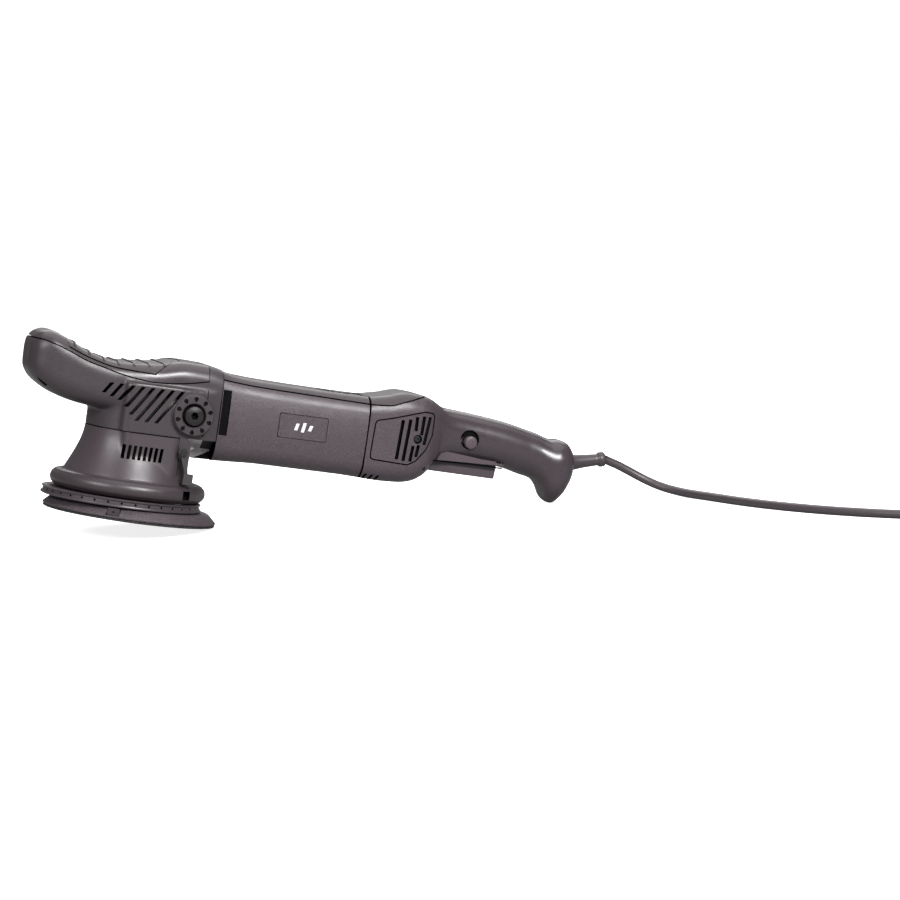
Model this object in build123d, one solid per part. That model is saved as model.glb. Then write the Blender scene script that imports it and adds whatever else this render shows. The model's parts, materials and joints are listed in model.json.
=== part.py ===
"""Dual action polisher, long body, 125 mm class: 8 mm orbit, free spinning plate.

The tool is drawn upright: spindle axis on Z, hook face of the plate at z = 0, motor towards +X, the
operator's left (the side with the lock button) towards -Y. The last step tips the whole tool back onto
the plate's rear rim and the pommel, which is how it lies on a bench, with the bench at z = 0.
"""
from build123d import *
import math
import os

# ---- driving dimensions, millimetres and degrees -------------------------------------------------
PLATE_RADIUS = 63.5          # 5 inch backing plate
ECCENTRICITY = 4.0           # half of the 8 mm orbit
RING_RADIUS = 59.0           # balance ring over the plate
RING_OFFSET = -3.5           # its centre, opposite to the eccentric
SHROUD_RADIUS = 57.0         # outside of the soft bumper ring
BUMPER_TUBE = 6.5            # radius of the bumper's round section
BUMPER_Z = 22.5
NECK_RADIUS = 36.7           # front of the gear head
NECK_Z = 63.5                # seam between gear head and shroud
MOTOR_AXIS_Z = 80.0
HEAD_END_X = 54.0            # seam between gear head and motor housing
MOTOR_END_X = 166.0          # seam between motor housing and rear housing
POMMEL_X = 333.0             # rear end of the handle
WALL = 3.0
GEAR_TEETH = 36
PINION_TEETH = 12
POMMEL_LOW = (320.0, 48.0)   # lowest point of the pommel, x and z, before tipping
FIT = 0.05                   # radial running fit of a shaft or a pivot pin
BUTTON_POS = (249.0, 86.0)
DIAL_POS = (147.0, 0.0)
TRIGGER_PIVOT = (230.0, 73.5)
LATCH_PIVOT = (29.0, 54.0)
LATCH_Y = -41.0
DISC_POS = (33.0, 81.0)
COVER_SCREW = (204.6, 84.2)
COVER_POST = 26.8            # distance of the cover screw's seat from the middle plane
HANDLE_SCREWS = [(231, 90), (284, 86), (316, 72)]
CORD_RADIUS = 3.25
COIL_LAYERS = 4              # turns beside each other, and layers of them
COIL_MEAN_RADIUS = 39.0

PALM_SEAM = [(-95, 121.5), (-84, 121), (-74, 119), (-61, 115), (-48, 110), (-35, 107),
             (-23, 104), (-11, 102), (2, 101), (14, 101.5), (26, 103), (43, 106.5)]
RIM_X = ECCENTRICITY + PLATE_RADIUS - 0.5          # rear edge of the hook face
LEAN_ANGLE = math.degrees(math.atan2(POMMEL_LOW[1], POMMEL_LOW[0] - RIM_X))
FLOOR_LIFT = RIM_X * math.sin(math.radians(LEAN_ANGLE))
BENCH_SHIFT = -148.5         # brings the middle of the tipped tool over the origin

# Sections across the tool: x, lowest z, highest z, half width, corner radius.
HEAD_SECTIONS = [(-91, 99, 120, 14, 7), (-86, 93, 125, 23, 11), (-77, 87, 128, 28, 13),
                 (-64, 81.5, 124.5, 30, 14), (-46, 78, 117, 31, 13), (-24, 76, 112.2, 32, 12),
                 (4, 73, 114, 34, 12), (26, 70, 118, 34, 12), (44, 66, 117.5, 33, 12),
                 (HEAD_END_X, 64, 115, 31.5, 12)]
MOTOR_SECTIONS = [(HEAD_END_X, 49, 115, 31.5, 12), (66, 49.5, 112.5, 31.5, 12),
                  (90, 50.5, 111, 31.5, 12), (150, 50.5, 110, 31.5, 12),
                  (MOTOR_END_X, 50, 110, 31.5, 12)]
HANDLE_SECTIONS = [(MOTOR_END_X, 50, 110, 31.5, 12), (180, 49.5, 113, 31.5, 13),
                   (196, 50, 117, 31.5, 14), (206, 52, 116.5, 30.5, 14), (214, 56, 114.5, 28.5, 15),
                   (221, 61.5, 111.5, 23.5, 16), (228, 67, 108.3, 18.5, 15), (238, 70, 106.8, 17, 15),
                   (252, 71, 104.8, 16.5, 15), (276, 70, 101.8, 16.5, 15), (294, 66.3, 97.6, 16.5, 15),
                   (302, 63.3, 95.4, 17, 15), (308, 55, 94.6, 18.5, 16), (314, 49.3, 95, 20, 17),
                   (320, 48, 96, 21, 18), (326, 53, 94.6, 20.5, 17), (330.5, 61, 90.4, 17, 14),
                   (POMMEL_X, 70, 84, 10, 6.5)]
BRUSH_COVER = [(171, 94), (186, 98), (200, 102.5), (208, 104.8), (214, 104.5), (216, 101), (216, 88),
               (212, 77), (205, 68), (199, 64.5), (170, 65.5)]
# Free part of the cord on the bench, from the strain relief to the coil, in the tipped frame.
CORD_ROUTE = [(228.5, 0, 28.7), (238, -0.5, 24.0), (248.5, -3, 15.0), (261.5, -11, 7.0),
              (274, -29, 3.3), (282.5, -60, 3.3), (291.5, -98, 3.3), (305.5, -140, 3.3),
              (325, -182, 3.3), (349, -220, 3.3), (376, -251, 3.3), (405, -274, 3.3), (436, -287, 3.3)]
RELIEF_START = (331.0, 79.3)
RELIEF_END = (358.5, 84.5)


# ---- helpers --------------------------------------------------------------------------------------
def loft_along_x(sections, inset=0.0):
    """A body through rounded rectangles across X, each pulled in by inset."""
    faces = []
    for x, low, high, half, corner in sections:
        width, height = 2 * (half - inset), high - low - 2 * inset
        radius = min(max(corner - inset, 1.5), 0.49 * min(width, height))
        plane = Plane.YZ.offset(x)
        faces.append(plane * Pos(0, (low + high) / 2) * RectangleRounded(width, height, radius))
    return loft(faces, ruled=True)


def prism_xz(points, y_from, y_to):
    """A prism over a polygon drawn in X and Z, from y_from to y_to."""
    face = Plane.XZ.offset(-y_to) * make_face(Polyline(*points, close=True))
    return extrude(face, y_to - y_from)


def cyl_z(radius, low, high, x=0.0, y=0.0):
    return Pos(x, y, (low + high) / 2) * Cylinder(radius, high - low)


def cyl_x(radius, start, end, y=0.0, z=MOTOR_AXIS_Z):
    return Pos((start + end) / 2, y, z) * Rot(0, 90, 0) * Cylinder(radius, end - start)


def cyl_y(radius, start, end, x, z):
    return Pos(x, (start + end) / 2, z) * Rot(90, 0, 0) * Cylinder(radius, abs(end - start))


def block(x0, x1, y0, y1, z0, z1):
    return Pos((x0 + x1) / 2, (y0 + y1) / 2, (z0 + z1) / 2) * Box(x1 - x0, y1 - y0, z1 - z0)


def turned(profile):
    """A solid turned about Z from (radius, z) points."""
    return revolve(Plane.XZ * make_face(Polyline(*profile, close=True)), Axis.Z)


def both_sides(shape):
    return [shape, mirror(shape, Plane.XZ)]


def bearing(radius_out, radius_in, length):
    """A sealed ball bearing about Z: one ring with a shallow groove for the shield on each face."""
    ring = Cylinder(radius_out, length) - Cylinder(radius_in, length)
    middle = (radius_out + radius_in) / 2
    width = (radius_out - radius_in) * 0.22
    groove = Cylinder(middle + width, 1) - Cylinder(middle - width, 1)
    return ring - Pos(0, 0, length / 2) * groove - Pos(0, 0, -length / 2) * groove


def hex_screw(head_radius, head_height, shank_radius, shank_length, socket):
    """A domed socket screw along -Z with the head's seat at z = 0."""
    head = Pos(0, 0, head_height / 2) * Cylinder(head_radius, head_height)
    head = fillet(head.edges().sort_by(Axis.Z)[-1], head_height * 0.6)
    key = Pos(0, 0, head_height) * extrude(RegularPolygon(socket / 2, 6), -head_height * 0.6)
    return head - key + Pos(0, 0, -shank_length / 2) * Cylinder(shank_radius, shank_length)


# ---- gear head and palm grip ---------------------------------------------------------------------
def seam_prism():
    """Everything over the seam between palm cover and head shell, ahead of the collar."""
    return prism_xz(PALM_SEAM + [(43, 140), (-95, 140)], -60, 60)


def head_body(inset):
    """Outside of the gear head with its palm grip, pulled in by inset, open below at the neck."""
    low = NECK_Z if inset == 0 else NECK_Z - 1
    body = loft_along_x(HEAD_SECTIONS, inset)
    neck = cyl_z(NECK_RADIUS - inset, low, 92)
    side = 38.5 - inset
    plan = make_face(Polyline((-18 + inset, -side), (25, -side), (HEAD_END_X, -31.5 + inset),
                              (HEAD_END_X, 31.5 - inset), (25, side), (-18 + inset, side), close=True))
    panels = extrude(Pos(0, 0, low) * plan, 99 - inset - low)
    return body + neck + panels


def slanted_slots():
    """Eight leaning air slots through both sides of the head, cut down to a rising lower line."""
    low_ends = [89, 87, 85, 81, 76, 72, 72, 72]
    cutters = []
    for i, low in enumerate(low_ends):
        x_top = -29 + 7.3 * i
        x_low = x_top - (97 - low) * math.tan(math.radians(34))
        cutters.append(prism_xz([(x_top, 97), (x_top + 2.8, 97), (x_low + 2.8, low), (x_low, low)],
                                -50, 50))
    return cutters


def head_parts():
    shell = head_body(0) - head_body(WALL)
    cover = shell & seam_prism()
    lower = shell - seam_prism()
    for cutter in slanted_slots():
        lower -= cutter
    x, z = DISC_POS
    bosses = []
    for side in (-1, 1):
        boss = cyl_y(15.4, side * 33, side * 40, x, z) - cyl_y(8.6, side * 33, side * 40, x, z)
        lower -= cyl_y(8.6, side * 30, side * 41, x, z)
        bosses.append(boss)
    for boss in bosses:
        lower += boss
    bracket = block(26, 32, -38.4, -33.6, 49.5, NECK_Z + 1)
    bracket -= cyl_y(1.6, -39, -33, *LATCH_PIVOT)
    lower += bracket
    pad_zone = prism_xz([(-66, 118), (-66, 140), (22, 140), (22, 105)], -17, 17)
    skin = head_body(0) - head_body(1.6)
    pad = skin & pad_zone & cover
    cover = cover - pad
    return cover, pad, lower


def detent_disc(side):
    """Round plate under the side handle bolt, with ten shallow detents round it."""
    x, z = DISC_POS
    disc = cyl_y(14.8, side * 40, side * 43, x, z) - cyl_y(8.5, side * 40, side * 43, x, z)
    for i in range(10):
        a = math.radians(36 * i + 18)
        disc -= cyl_y(1.3, side * 42.2, side * 43.5, x + 12 * math.cos(a), z + 12 * math.sin(a))
    return disc


def disc_bolts():
    """Domed socket bolts that close the two side handle threads."""
    bolt = hex_screw(7.3, 5, 5, 16, 5.5)
    x, z = DISC_POS
    seat = cyl_z(8.4, -0.0, 1.0)
    return [Pos(x, side * 40, z) * Rot(side * -90, 0, 0) * (bolt + seat) for side in (-1, 1)]


def gear_housing():
    """Aluminium casting: spindle tube, motor side tube and the rib under the motor."""
    tube = cyl_x(28, 0, 46) & (block(0, 60, -40, 40, NECK_Z + 0.5, 120) + block(30.5, 60, -40, 40, 40, 120))
    body = cyl_z(30, NECK_Z + 0.5, 100) + cyl_z(27, 44, 66) + tube
    body += block(23, 42, -31, 31, 75, 87)
    body += prism_xz([(30.5, 66), (52, 66), (52, 61), (42, 50), (38, 50), (30.5, 58)], -15, 15)
    body -= cyl_x(40, 46, 53) & block(46, 60, -40, 40, 63, 120)
    body -= cyl_z(25, 60, 88) + cyl_x(22, 0, 46.01)
    body -= cyl_z(17.5, 47, 61) + cyl_z(12, 43, 47) + cyl_z(14, 88, 96)
    body -= cyl_x(28, 46, 60)
    for side in (-1, 1):
        body -= cyl_y(5, side * 24, side * 33, *DISC_POS)
    return body


def bearing_plate():
    """Plate between gears and motor that carries the front motor bearing."""
    plate = cyl_x(28, 46, HEAD_END_X) - cyl_x(16, 46, HEAD_END_X - 2) - cyl_x(8, 46, 60)
    return plate


# ---- shroud ----------------------------------------------------------------------------------------
SHROUD_LINE = [(NECK_RADIUS, NECK_Z), (37, 60), (39, 51.5), (43.5, 43), (48.5, 35), (53, 31), (55, 28)]


def shroud_body(inset):
    line = [(r - inset, z) for r, z in SHROUD_LINE]
    low = SHROUD_LINE[-1][1]
    if inset:
        low -= 1
        line.append((line[-1][0], low))
    cone = turned([(0, NECK_Z)] + line + [(0, low)])
    cone &= block(-70, 30 - inset, -70, 70, 31, 70) + cyl_z(60, 20, 31)
    side = block(-18 + inset, 24 - inset, -40 + inset, 40 - inset, 34, NECK_Z)
    return cone + side


def shroud_parts():
    shroud = shroud_body(0) - shroud_body(2.5)
    shroud -= cyl_z(NECK_RADIUS - 2.5, NECK_Z - 3, NECK_Z + 1) & block(-70, 27, -70, 70, 50, 70)
    for i in range(8):
        x = -14.7 + 3.9 * i
        shroud -= prism_xz([(x, 54), (x + 2.4, 54), (x + 1.6, 44), (x - 0.8, 44)], -50, 50)
    bumper = Pos(0, 0, BUMPER_Z) * Torus(SHROUD_RADIUS - BUMPER_TUBE, BUMPER_TUBE)
    filled = shroud_body(0)
    bumper = bumper - filled - block(32, 38, -60, -36, 19.5, 26)
    return shroud, bumper


def shroud_latch():
    """Lever with an eye at the top and a catch block over the bumper's window."""
    x, z = LATCH_PIVOT
    y0, y1 = LATCH_Y - 2.5, LATCH_Y + 2.0
    arm = prism_xz([(x - 2.6, z), (x + 3, z), (x + 5.4, 38), (x + 3.2, 38)], y0 + 1, y1 - 0.5)
    lever = cyl_y(3.5, y0, y1, x, z) + arm + block(31, 38, y0 - 1.5, y1, 31, 38.5)
    return lever - cyl_y(1.6 + FIT, y0 - 1, y1 + 1, x, z)


def latch_pin():
    return cyl_y(1.6, LATCH_Y - 4, -33.6, *LATCH_PIVOT) + cyl_y(2.6, LATCH_Y - 4, LATCH_Y - 3, *LATCH_PIVOT)


# ---- spindle, eccentric and plate ----------------------------------------------------------------
def spindle_bearings():
    """Upper and lower bearing of the spindle, both pressed into the gear housing."""
    upper = Pos(0, 0, 92) * bearing(14, 6 + FIT, 8)
    lower = Pos(0, 0, 52) * bearing(17.5, 8.5 + FIT, 10)
    return upper, lower


def spindle_shaft():
    return cyl_z(8.5, 43, 61) + cyl_z(6, 61, 95.5)


def toothed(blank, teeth, radius, height, slope, depth):
    """Cuts straight bevel tooth gaps round a turned blank, centred on the face at radius and height."""
    width = math.pi * radius / teeth
    gap = Pos(radius, 0, height) * Rot(0, slope, 0) * Box(14, width, 2 * depth)
    return blank - [Rot(0, 0, 360 / teeth * i) * gap for i in range(teeth)]


def driven_gear():
    """Crown gear on the spindle; its face runs up towards the point where both axes cross."""
    blank = turned([(6, 61), (21, 61), (24, 63.5), (24, 71.2), (13, 74.8), (12, 72), (6, 72)])
    slope = math.degrees(math.atan2(3.6, 11))
    return toothed(blank, GEAR_TEETH, 18.5, 73, slope, 1.7)


def eccentric():
    """Hub with the two plate bearings' bore, off centre, and the weight opposite to it."""
    web = cyl_z(24, 36, 43) + cyl_z(19, 18, 36, x=ECCENTRICITY)
    weight = (cyl_z(41, 15.5, 28) - cyl_z(25, 15, 29)) & prism_wedge(70)
    bridge = block(-30, -12, -14, 14, 15.5, 28)
    body = web + weight + bridge
    body -= cyl_z(14, 17, 35.5, x=ECCENTRICITY)
    return body


def prism_wedge(half_angle):
    """A wedge of the given half angle opening towards -X."""
    reach = 80
    a = math.radians(half_angle)
    tip = (-reach * math.cos(a), reach * math.sin(a))
    face = make_face(Polyline((0, 0), tip, (-reach, tip[1]), (-reach, -tip[1]), (tip[0], -tip[1]),
                              close=True))
    return extrude(face, 60)


def balance_ring():
    """Thin perforated disc over the plate, screwed under the weight."""
    profile = [(27, 12.5), (50, 12.5), (52.5, 9.6), (57, 9.4), (RING_RADIUS, 10.6), (RING_RADIUS, 12.6),
               (57.6, 14.2), (56.4, 14.2), (55.6, 13.2), (51.5, 14.6), (50, 15.5), (27, 15.5)]
    ring = Pos(RING_OFFSET, 0, 0) * turned(profile)
    holes = []
    for i in range(36):
        a = math.radians(10 * i)
        holes.append(cyl_z(0.9, 5, 20, RING_OFFSET + 53.6 * math.cos(a), 53.6 * math.sin(a)))
    return ring - holes


def plate_bearings():
    one = bearing(14, 6 + FIT, 8)
    return [Pos(ECCENTRICITY, 0, z) * one for z in (22.5, 31.0)]


def plate_spindle():
    return cyl_z(6, 8, 35.0, x=ECCENTRICITY) + cyl_z(9, 8, 18, x=ECCENTRICITY) \
        - cyl_z(3.5, 7, 26, x=ECCENTRICITY)


def vents(low, high):
    """Eight air holes round the plate."""
    return [cyl_z(4, low, high, ECCENTRICITY + 36 * math.cos(math.radians(45 * i)),
                  36 * math.sin(math.radians(45 * i))) for i in range(8)]


def plate_parts():
    core = turned([(3.6, 5), (50, 5), (50, 6.5), (30, 8), (3.6, 8)])
    foam = turned([(9, 1.6), (PLATE_RADIUS - 0.7, 1.6), (PLATE_RADIUS, 2.8), (59.5, 8.2), (58, 9),
                   (50, 9), (50, 5), (9, 5)])
    hook = turned([(9, 0), (PLATE_RADIUS - 0.5, 0), (PLATE_RADIUS - 0.5, 1.6), (9, 1.6)])
    shift = Pos(ECCENTRICITY, 0, 0)
    core, foam, hook = shift * core, shift * foam, shift * hook
    return core - vents(4, 10), foam - vents(0, 10), hook - vents(-1, 3)


def plate_screw():
    screw = hex_screw(6.5, 3, 3.5, 18, 6)
    return Pos(ECCENTRICITY, 0, 5) * Rot(180, 0, 0) * screw


# ---- motor -----------------------------------------------------------------------------------------
def motor_shell():
    return loft_along_x(MOTOR_SECTIONS) - loft_along_x(stretched(MOTOR_SECTIONS), WALL)


def stretched(sections):
    """The same sections, with the two ends pushed out a little so that a cut goes right through."""
    first, last = sections[0], sections[-1]
    return [(first[0] - 1,) + first[1:]] + sections[1:-1] + [(last[0] + 1,) + last[1:]]


def spine_prism():
    """The strip along the motor's back that the top trim takes."""
    return prism_xz([(HEAD_END_X, 109), (80, 107), (MOTOR_END_X, 105), (MOTOR_END_X, 130),
                     (HEAD_END_X, 130)], -40, 40)


def motor_parts():
    shell = motor_shell()
    trim = shell & spine_prism()
    housing = shell - spine_prism()
    housing -= block(55, 59.6, -40, 40, 69, 102)
    housing -= block(98.5, 135.5, -40, -30.9, 73, 91)
    trim -= block(131, 164, -15, 15, 100, 120)
    inside = loft_along_x(MOTOR_SECTIONS, WALL / 2)
    for start in (84, 131):
        seat = block(start, start + 5, -30, 30, 51, 104) & inside
        housing += seat - cyl_x(25.8, 80, 140)
    return housing, trim


def air_grilles():
    """Slatted guards just inside the two air outlets."""
    guard = block(55, 59.6, -30.3, -28.6, 69, 102)
    for i in range(7):
        guard -= block(56, 58.8, -31, -28, 71 + 4.3 * i, 73.6 + 4.3 * i)
    return both_sides(guard)


def control_panel():
    """Glossy insert on the back with the speed dial in it."""
    plate = block(131, 164, -15, 15, 105.9, 108.4)
    x, y = DIAL_POS
    return plate - cyl_z(9.0, 100, 120, x, y)


def speed_dial():
    x, y = DIAL_POS
    dial = cyl_z(8.6, 105, 110.3, x, y)
    for i in range(24):
        a = math.radians(15 * i)
        dial -= cyl_z(0.7, 103, 112, x + 8.8 * math.cos(a), y + 8.8 * math.sin(a))
    return dial - block(x - 0.8, x + 0.8, y + 2, y + 7.5, 109.7, 112)


def armature_shaft():
    return cyl_x(4, 11, 27) + cyl_x(6, 27, 62) + cyl_x(5, 62, 178) + cyl_x(4, 178, 206.5)


def armature_core():
    core = cyl_x(17, 82, 138)
    for i in range(12):
        a = math.radians(30 * i)
        core -= cyl_x(1.7, 80, 140, 15.6 * math.cos(a), MOTOR_AXIS_Z + 15.6 * math.sin(a))
    return core - cyl_x(5, 80, 140)


def armature_windings():
    """The two end turns of the armature coils, in one piece each side of the core."""
    ends = []
    for start, end in ((74.0, 82.0), (138.0, 146.0)):
        ends.append(fillet((cyl_x(15, start, end)).edges(), 3) - cyl_x(5, start - 1, end + 1))
    return ends


def commutator():
    body = cyl_x(11, 179, 195) - cyl_x(4, 170, 200)
    for i in range(24):
        a = math.radians(15 * i)
        slot = Pos(187, 11 * math.cos(a), MOTOR_AXIS_Z + 11 * math.sin(a)) * Rot(math.degrees(a), 0, 0) \
            * Box(14, 1.2, 0.5)
        body -= slot
    return body


def cooling_fan():
    """Radial fan behind the head: back plate, hub and leaning blades."""
    fan = cyl_x(25.5, 71, 73) + cyl_x(9, 62, 73)
    blade = Pos(66.5, 16.8, MOTOR_AXIS_Z) * Box(9, 16, 1.6)
    for i in range(9):
        fan += Pos(0, 0, MOTOR_AXIS_Z) * Rot(40 * i, 0, 0) * Pos(0, 0, -MOTOR_AXIS_Z) * blade
    return fan - cyl_x(5, 60, 75)


def drive_pinion():
    """Bevel pinion on the armature's nose, drawn with its tooth tips just clear of the crown gear."""
    blank = turned([(4, 0), (7, 0), (8, 1.5), (5.2, 12), (4, 12)])
    gear = toothed(blank, PINION_TEETH, 6.8, 6.5, 75, 1.2)
    return Pos(26.5, 0, MOTOR_AXIS_Z) * Rot(0, -90, 0) * gear


def stator_parts():
    core = cyl_x(25.8, 82, 138) - cyl_x(18, 81, 139)
    ends = []
    for start, end in ((74.5, 82.0), (138.0, 146.0)):
        ring = cyl_x(23.5, start, end) - cyl_x(18.5, start, end)
        for side in (-1, 1):
            ends.append(ring & block(start, end, min(side * 4, side * 30), max(side * 4, side * 30),
                                     50, 110))
    return core, ends


def brush_parts():
    """Square brush tubes on both sides of the commutator, the carbons and their springs."""
    holders, carbons, springs = [], [], []
    for side in (-1, 1):
        y0, y1 = sorted((side * 12, side * 27))
        holders.append(block(180, 194, y0, y1, 74, 86) - block(183.0, 191.0, y0 - 1, y1 + 1, 77, 83))
        y0, y1 = sorted((side * 11.4, side * 21))
        carbons.append(block(183.0, 191.0, y0, y1, 77, 83))
        y0, y1 = sorted((side * 21, side * 26.5))
        springs.append(cyl_y(2.6, y0, y1, 187, 80) - cyl_y(1.8, y0, y1, 187, 80))
    return holders, carbons, springs


def motor_bearings():
    front = Pos(49, 0, MOTOR_AXIS_Z) * Rot(0, 90, 0) * bearing(16, 6 + FIT, 6)
    rear = Pos(203.5, 0, MOTOR_AXIS_Z) * Rot(0, 90, 0) * bearing(11, 4 + FIT, 7)
    return front, rear


def rear_bearing_seat():
    """Cup round the rear motor bearing, with fins to the housing and posts for the cover screws."""
    seat = cyl_x(14, 199, 209) - cyl_x(11, 198, 207)
    seat += block(201, 207, -2, 2, 54, 67) + block(201, 207, -2, 2, 93, 113.5)
    for side in (-1, 1):
        y0, y1 = sorted((side * 10, side * COVER_POST))
        post = block(200.5, 207, y0, y1, 80.2, 88.2)
        seat += post - cyl_x(13, 190, 215)
    return seat


# ---- handle ----------------------------------------------------------------------------------------
def handle_shell():
    outer = loft_along_x(HANDLE_SECTIONS)
    inner = loft_along_x(HANDLE_SECTIONS[:-1], WALL)
    entry = loft_along_x([(MOTOR_END_X - 1,) + HANDLE_SECTIONS[0][1:], HANDLE_SECTIONS[1]], WALL)
    return outer - inner - entry


def cover_prism(gap=0.0):
    """The brush cover's outline, grown by gap, as a prism through the whole housing."""
    face = Plane.XZ.offset(-50) * make_face(Polyline(*BRUSH_COVER, close=True))
    if gap:
        face = offset(face, gap, kind=Kind.INTERSECTION)
    return extrude(face, 100)


def cover_slots():
    cutters = []
    lines = [((191.4, 97), (190.2, 67.6)), ((197, 98), (195.4, 67)), ((202, 100.5), (202.2, 89.5)),
             ((201.6, 79.5), (200.6, 67.2)), ((207.4, 101.5), (207, 87.5)), ((205.8, 80), (204.8, 71)),
             ((212.2, 101.5), (210, 80.5))]
    for (xt, zt), (xb, zb) in lines:
        cutters.append(prism_xz([(xt - 1.1, zt), (xt + 1.1, zt), (xb + 1.1, zb), (xb - 1.1, zb)], -50, 50))
    return cutters


def handle_parts():
    shell = handle_shell()
    pad_zone = prism_xz([(MOTOR_END_X, 105), (180, 106), (192, 110), (203, 114), (212, 117),
                         (212, 125), (MOTOR_END_X, 125)], -40, 40)
    skin = loft_along_x(HANDLE_SECTIONS) - loft_along_x(stretched(HANDLE_SECTIONS[:-1]), 1.5)
    pad = shell & skin & pad_zone
    shell -= pad
    covers = []
    sides = block(160, 225, -40, -20, 40, 130), block(160, 225, 20, 40, 40, 130)
    for side in sides:
        cover = shell & cover_prism(-0.15) & side
        covers.append(cover)
    shell = shell - cover_prism(0.15)
    for i in range(len(covers)):
        for cutter in cover_slots():
            covers[i] -= cutter
        covers[i] -= cyl_y(3.2, -40, 40, *COVER_SCREW)
    shell += rear_bearing_seat()
    for screw in cover_screws():
        shell -= screw
    inside = loft_along_x(HANDLE_SECTIONS, 0.5)
    for x, z in HANDLE_SCREWS:
        shell += cyl_y(4.2, -19, 19, x, z) & inside
        shell -= cyl_y(3.2, 9, 30, x, z) + cyl_y(1.6, -8, 10, x, z)
    shell += block(256, 261, 9, 14, 87, 97) + block(256, 261, -14, -6, 87, 97)
    shell -= block(225, 277, -14.5, 14.5, 55, 76.9) + block(225.5, 276.5, -11.6, 11.6, 70, 82.5)
    shell -= cyl_y(7.3, -20, -14.9, *BUTTON_POS) + cyl_y(5.05, -20, -8, *BUTTON_POS)
    for i in range(4):
        x = 168 + 4.6 * i
        shell -= prism_xz([(x, 47), (x + 2, 47), (x + 5, 54), (x + 3, 54)], -22, 22) \
            - block(160, 200, -6, 6, 40, 60)
    relief_axis = relief_location()
    shell -= relief_axis * Pos(0, 0, 3) * Cylinder(6.7, 12)
    left = shell & block(150, 340, -50, 0, 30, 130)
    right = shell & block(150, 340, 0, 50, 30, 130)
    return left, right, pad, covers


def cover_screws():
    """Screws that hold the brush covers, sunk in their round recesses."""
    screw = cyl_z(2.7, -1.2, 0) + cyl_z(1.5, -9, -1.2) - block(-2, 2, -0.4, 0.4, -0.5, 1)
    x, z = COVER_SCREW
    return [Pos(x, side * (COVER_POST + 1.2), z) * Rot(side * -90, 0, 0) * screw for side in (-1, 1)]


def trigger():
    x, z = TRIGGER_PIVOT
    paddle = prism_xz([(225.8, 60.5), (274, 60.2), (275, 68.6), (275, 75.4), (232, 76), (227.5, 74),
                       (226.6, 70)], -11, 11)
    return paddle + cyl_y(2, -13.8, 13.8, x, z) + block(238, 244, -4, 4, 74, 78.5)


def trigger_bezel():
    """Frame round the trigger slot that carries the trigger's pivot ends."""
    x, z = TRIGGER_PIVOT
    frame = block(225, 277, -14.5, 14.5, 70.5, 76.9) - block(225.5, 276.5, -11.6, 11.6, 60, 90)
    return frame - cyl_y(2 + FIT, -15, 15, x, z)


def switch_body():
    return block(236, 262, -6, 9, 85.5, 98)


def lock_button():
    return cyl_y(4.75, -17.2, -11, *BUTTON_POS) + cyl_y(6.2, -11.2, -9.8, *BUTTON_POS)


def relief_location():
    """Frame at the strain relief's start, Z along its axis."""
    (x0, z0), (x1, z1) = RELIEF_START, RELIEF_END
    angle = math.degrees(math.atan2(x1 - x0, z1 - z0))
    return Pos(x0, 0, z0) * Rot(0, angle, 0)


def strain_relief():
    """Tapered rubber boot with an end bead; the cord meets its end face."""
    length = math.dist(RELIEF_START, RELIEF_END)
    boot = turned([(0, -8), (9, -8), (9, -3.2), (6.7, -3), (6.7, 3), (4.9, length - 7), (5.0, length - 5),
                   (6.4, length - 4.5), (6.4, length - 1), (5.6, length), (0, length)])
    return relief_location() * boot


def handle_screws():
    """Three screws that close the two handle halves, sunk from the right side."""
    return [cyl_y(2.9, 9, 11.2, x, z) - block(x - 2, x + 2, 10.6, 12, z - 0.4, z + 0.4)
            + cyl_y(1.6, -8, 9, x, z) for x, z in HANDLE_SCREWS]


# ---- tipping onto the bench and the cord -----------------------------------------------------------
TIP = Pos(BENCH_SHIFT, 0, FLOOR_LIFT) * Rot(0, LEAN_ANGLE, 0)


def tipped_point(x, y, z):
    a = math.radians(LEAN_ANGLE)
    return Vector(x * math.cos(a) + z * math.sin(a) + BENCH_SHIFT, y,
                  -x * math.sin(a) + z * math.cos(a) + FLOOR_LIFT)


def cord_points():
    exit_point = tipped_point(RELIEF_END[0], 0, RELIEF_END[1])
    return [exit_point] + [Vector(*p) for p in CORD_ROUTE]


def corner_radii(points):
    """The largest arc that fits each corner: 0.45 of its shorter run over the tangent of half the turn."""
    radii = []
    for before, at, after in zip(points, points[1:], points[2:]):
        first, second = at - before, after - at
        half = math.radians(first.get_angle(second)) / 2
        radii.append(0.45 * min(first.length, second.length) / math.tan(half))
    return radii


def cord():
    points = cord_points()
    radii = corner_radii(points)
    print("cord radii, mm:", [round(r, 1) for r in radii])
    path = FilletPolyline(*points, radius=radii)
    start = points[1] - points[0]
    profile = Plane(origin=points[0], z_dir=start) * Circle(CORD_RADIUS)
    tube = sweep(profile, path=path)
    expected = math.pi * CORD_RADIUS ** 2 * path.length
    print(f"cord length {path.length:.1f} mm, volume over section times length {tube.volume / expected:.4f}")
    return tube


def coil_frame():
    """Centre of the coil and the heading of the cord where it arrives."""
    last = Vector(*CORD_ROUTE[-1]) - Vector(*CORD_ROUTE[-2])
    heading = math.atan2(last.Y, last.X)
    outer = COIL_MEAN_RADIUS + 1.5 * 2 * CORD_RADIUS
    lead = 34.0
    end = CORD_ROUTE[-1]
    cx = end[0] + lead * math.cos(heading) - outer * math.sin(heading)
    cy = end[1] + lead * math.sin(heading) + outer * math.cos(heading)
    return cx, cy, heading, outer, lead


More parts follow.
